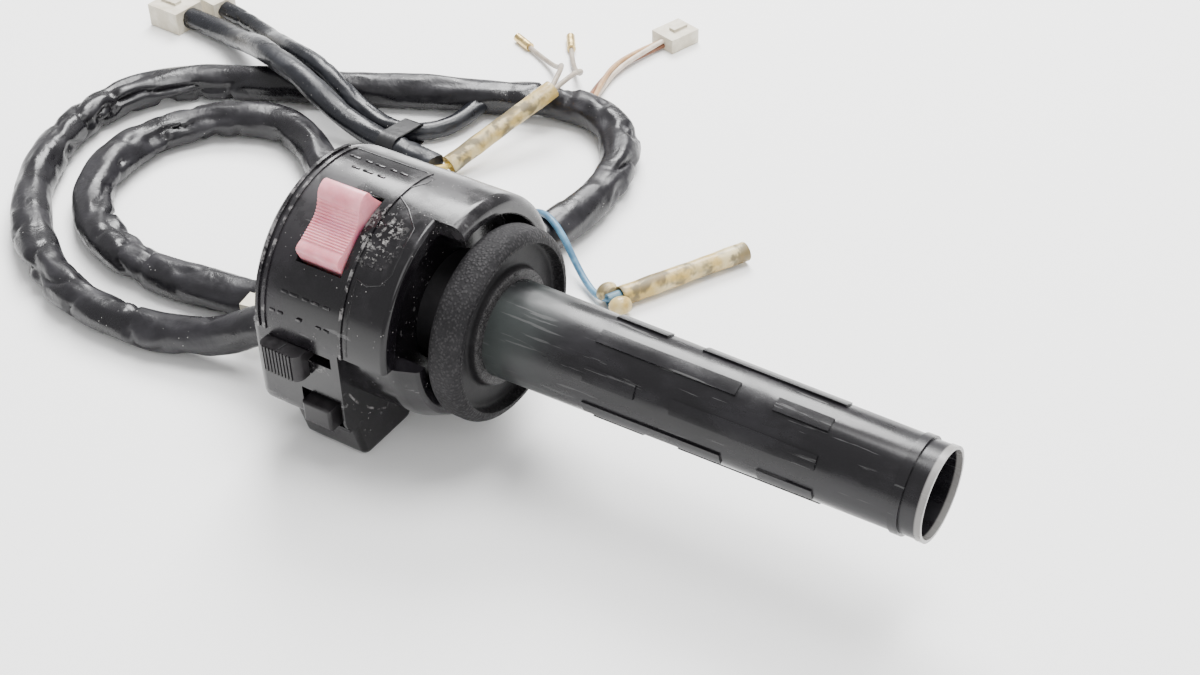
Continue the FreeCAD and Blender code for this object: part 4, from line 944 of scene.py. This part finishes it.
def makeFork():
    start, ahead = lowerSleeveMouth()
    side = Vector((-ahead.y, ahead.x, 0))
    heading = math.atan2(ahead.y, ahead.x) - math.pi / 2
    made = []
    for way in (-1, 1):
        startFresh()
        bpy.ops.mesh.primitive_uv_sphere_add(
            segments=28, ring_count=18, radius=fork["radius"]
        )
        bulb = bpy.context.object
        bulb.scale = fork["shape"]
        bulb.rotation_euler = (0, 0, heading + way * fork["splay"])
        bulb.location = start - ahead * fork["out"] + side * (way * fork["apart"])
        bpy.ops.object.transform_apply(location=True, rotation=True, scale=True)
        bpy.ops.object.mode_set(mode="EDIT")
        bpy.ops.mesh.select_all(action="SELECT")
        bpy.ops.mesh.bisect(plane_co=start + ahead * fork["cut"], plane_no=ahead,
                            clear_outer=True, use_fill=False)
        bpy.ops.object.mode_set(mode="OBJECT")
        applied("SOLIDIFY", thickness=fork["wall"], offset=-1)
        made.append(bulb)
    joinedPieces(made)
    finish = clearVinyl("forkVinyl")
    return settle("sleeve_fork", finish, "housing", 50)


def makeBoot():
    start, ahead = lowerSleeveMouth()
    startFresh()
    bpy.ops.mesh.primitive_cylinder_add(
        vertices=32, radius=boot["radius"], depth=boot["length"]
    )
    piece = bpy.context.object
    pickFaces(piece, Vector((0, 0, -1)))
    bpy.ops.mesh.inset(thickness=boot["lip"])
    bpy.ops.mesh.extrude_region_move(TRANSFORM_OT_translate={"value": (0, 0, boot["socket"])})
    bpy.ops.object.mode_set(mode="OBJECT")
    applied("BEVEL", width=boot["edge"], segments=3, limit_method="ANGLE")
    turnedAlong(piece, ahead, start - ahead * boot["out"])
    return settle("wire_boot", finishes["boot"], "housing", 45, ("blue_boot",))


forkPiece = makeFork()
bootPiece = makeBoot()
print("clear sleeves")


# Thin wires

wires = {
    "blue_wire": {"radius": 0.0011, "finish": "blue", "slot": "blue_insulation",
                  "length": 0.104, "ends": [bootPiece, forkPiece, clearPieces["connector_sleeve_b"]]},
    "grey_wire_left": {"radius": 0.0009, "finish": "grey", "slot": "grey_insulation",
                       "length": 0.061, "ends": [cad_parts["grey_bullets"]]},
    "grey_wire_right": {"radius": 0.0009, "finish": "grey", "slot": "grey_insulation",
                        "length": 0.059, "ends": [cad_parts["grey_bullets"]]},
}


def makeWires():
    for name, facts in wires.items():
        piece = routeCurve(name, facts["radius"])
        piece.name = piece.data.name = name + "_insulation"
        piece.data.materials.append(finishes[facts["finish"]])
        hang(piece, "housing", (name,))
        2 * facts["radius"]


bundle = {
    "radius": 0.00092, "fromMiddle": 0.00104, "colours": ("tan", "brown", "white"),
    "length": 0.061, "diameter": 0.004, "step": 0.001, "around": 16,
}


def makeBrownWires():
    line = evenly(centreLine("brown_wires"), bundle["step"])
    first, *others = (finishes[colour] for colour in bundle["colours"])
    piece = tubeAlong("brown_wires_bundle", line, bundle["around"],
                      lambda run, angle, strand: (bundle["radius"], bundle["radius"]),
                      first, len(bundle["colours"]), bundle["fromMiddle"])
    for finish in others:
        piece.data.materials.append(finish)
    share = len(piece.data.polygons) / len(bundle["colours"])
    for face in piece.data.polygons:
        face.material_index = int(face.index / share)
    hang(piece, "housing", ("brown_wires",))


makeWires()
makeBrownWires()
print("wires")


# Floor, light and camera

stage = {"floorSize": 6, "floorDrop": 0.0002, "daylight": 0.85}
startFresh()
bpy.ops.mesh.primitive_plane_add(size=stage["floorSize"], location=(0, 0, -stage["floorDrop"]))
floor = bpy.context.object
floor.name = "floor"
floor.data.materials.append(floorPaper())

world = bpy.data.worlds.new("studio")
bpy.context.scene.world = world
world.use_nodes = True
sky = world.node_tree.nodes["Background"]
sky.inputs["Color"].default_value = (1.0, 1.0, 1.0, 1.0)
sky.inputs["Strength"].default_value = stage["daylight"]

lampTarget = Vector((-0.03, 0.03, 0.03))
# name, place, width and power
lamps = [
    ("keyLight", (-0.45, 0.75, 0.9), 0.6, 34.0), ("fillLight", (0.9, -0.6, 0.9), 0.8, 7.0),
    ("topLight", (0.15, 0.25, 1.3), 0.7, 26.0),
]
for name, place, width, power in lamps:
    data = bpy.data.lights.new(name, "AREA")
    data.size = width
    data.energy = power
    lamp = bpy.data.objects.new(name, data)
    lamp.location = place
    aim = lampTarget - Vector(place)
    lamp.rotation_euler = aim.to_track_quat("-Z", "Y").to_euler()
    bpy.context.collection.objects.link(lamp)

view = {
    "lens": 55.5, "sensor": 36, "place": (0.2007, -0.30375, 0.3424),
    "right": (0.8443, 0.5354, -0.0196), "up": (-0.3228, 0.5374, 0.7792),
    "back": (0.4277, -0.6515, 0.6266),
}
data = bpy.data.cameras.new("camera")
data.lens = view["lens"]
data.sensor_width = view["sensor"]
camera = bpy.data.objects.new("camera", data)
turn = Matrix((view["right"], view["up"], view["back"])).transposed()
camera.matrix_world = Matrix.Translation(view["place"]) @ turn.to_4x4()
bpy.context.collection.objects.link(camera)
bpy.context.scene.camera = camera
print("floor, light and camera")
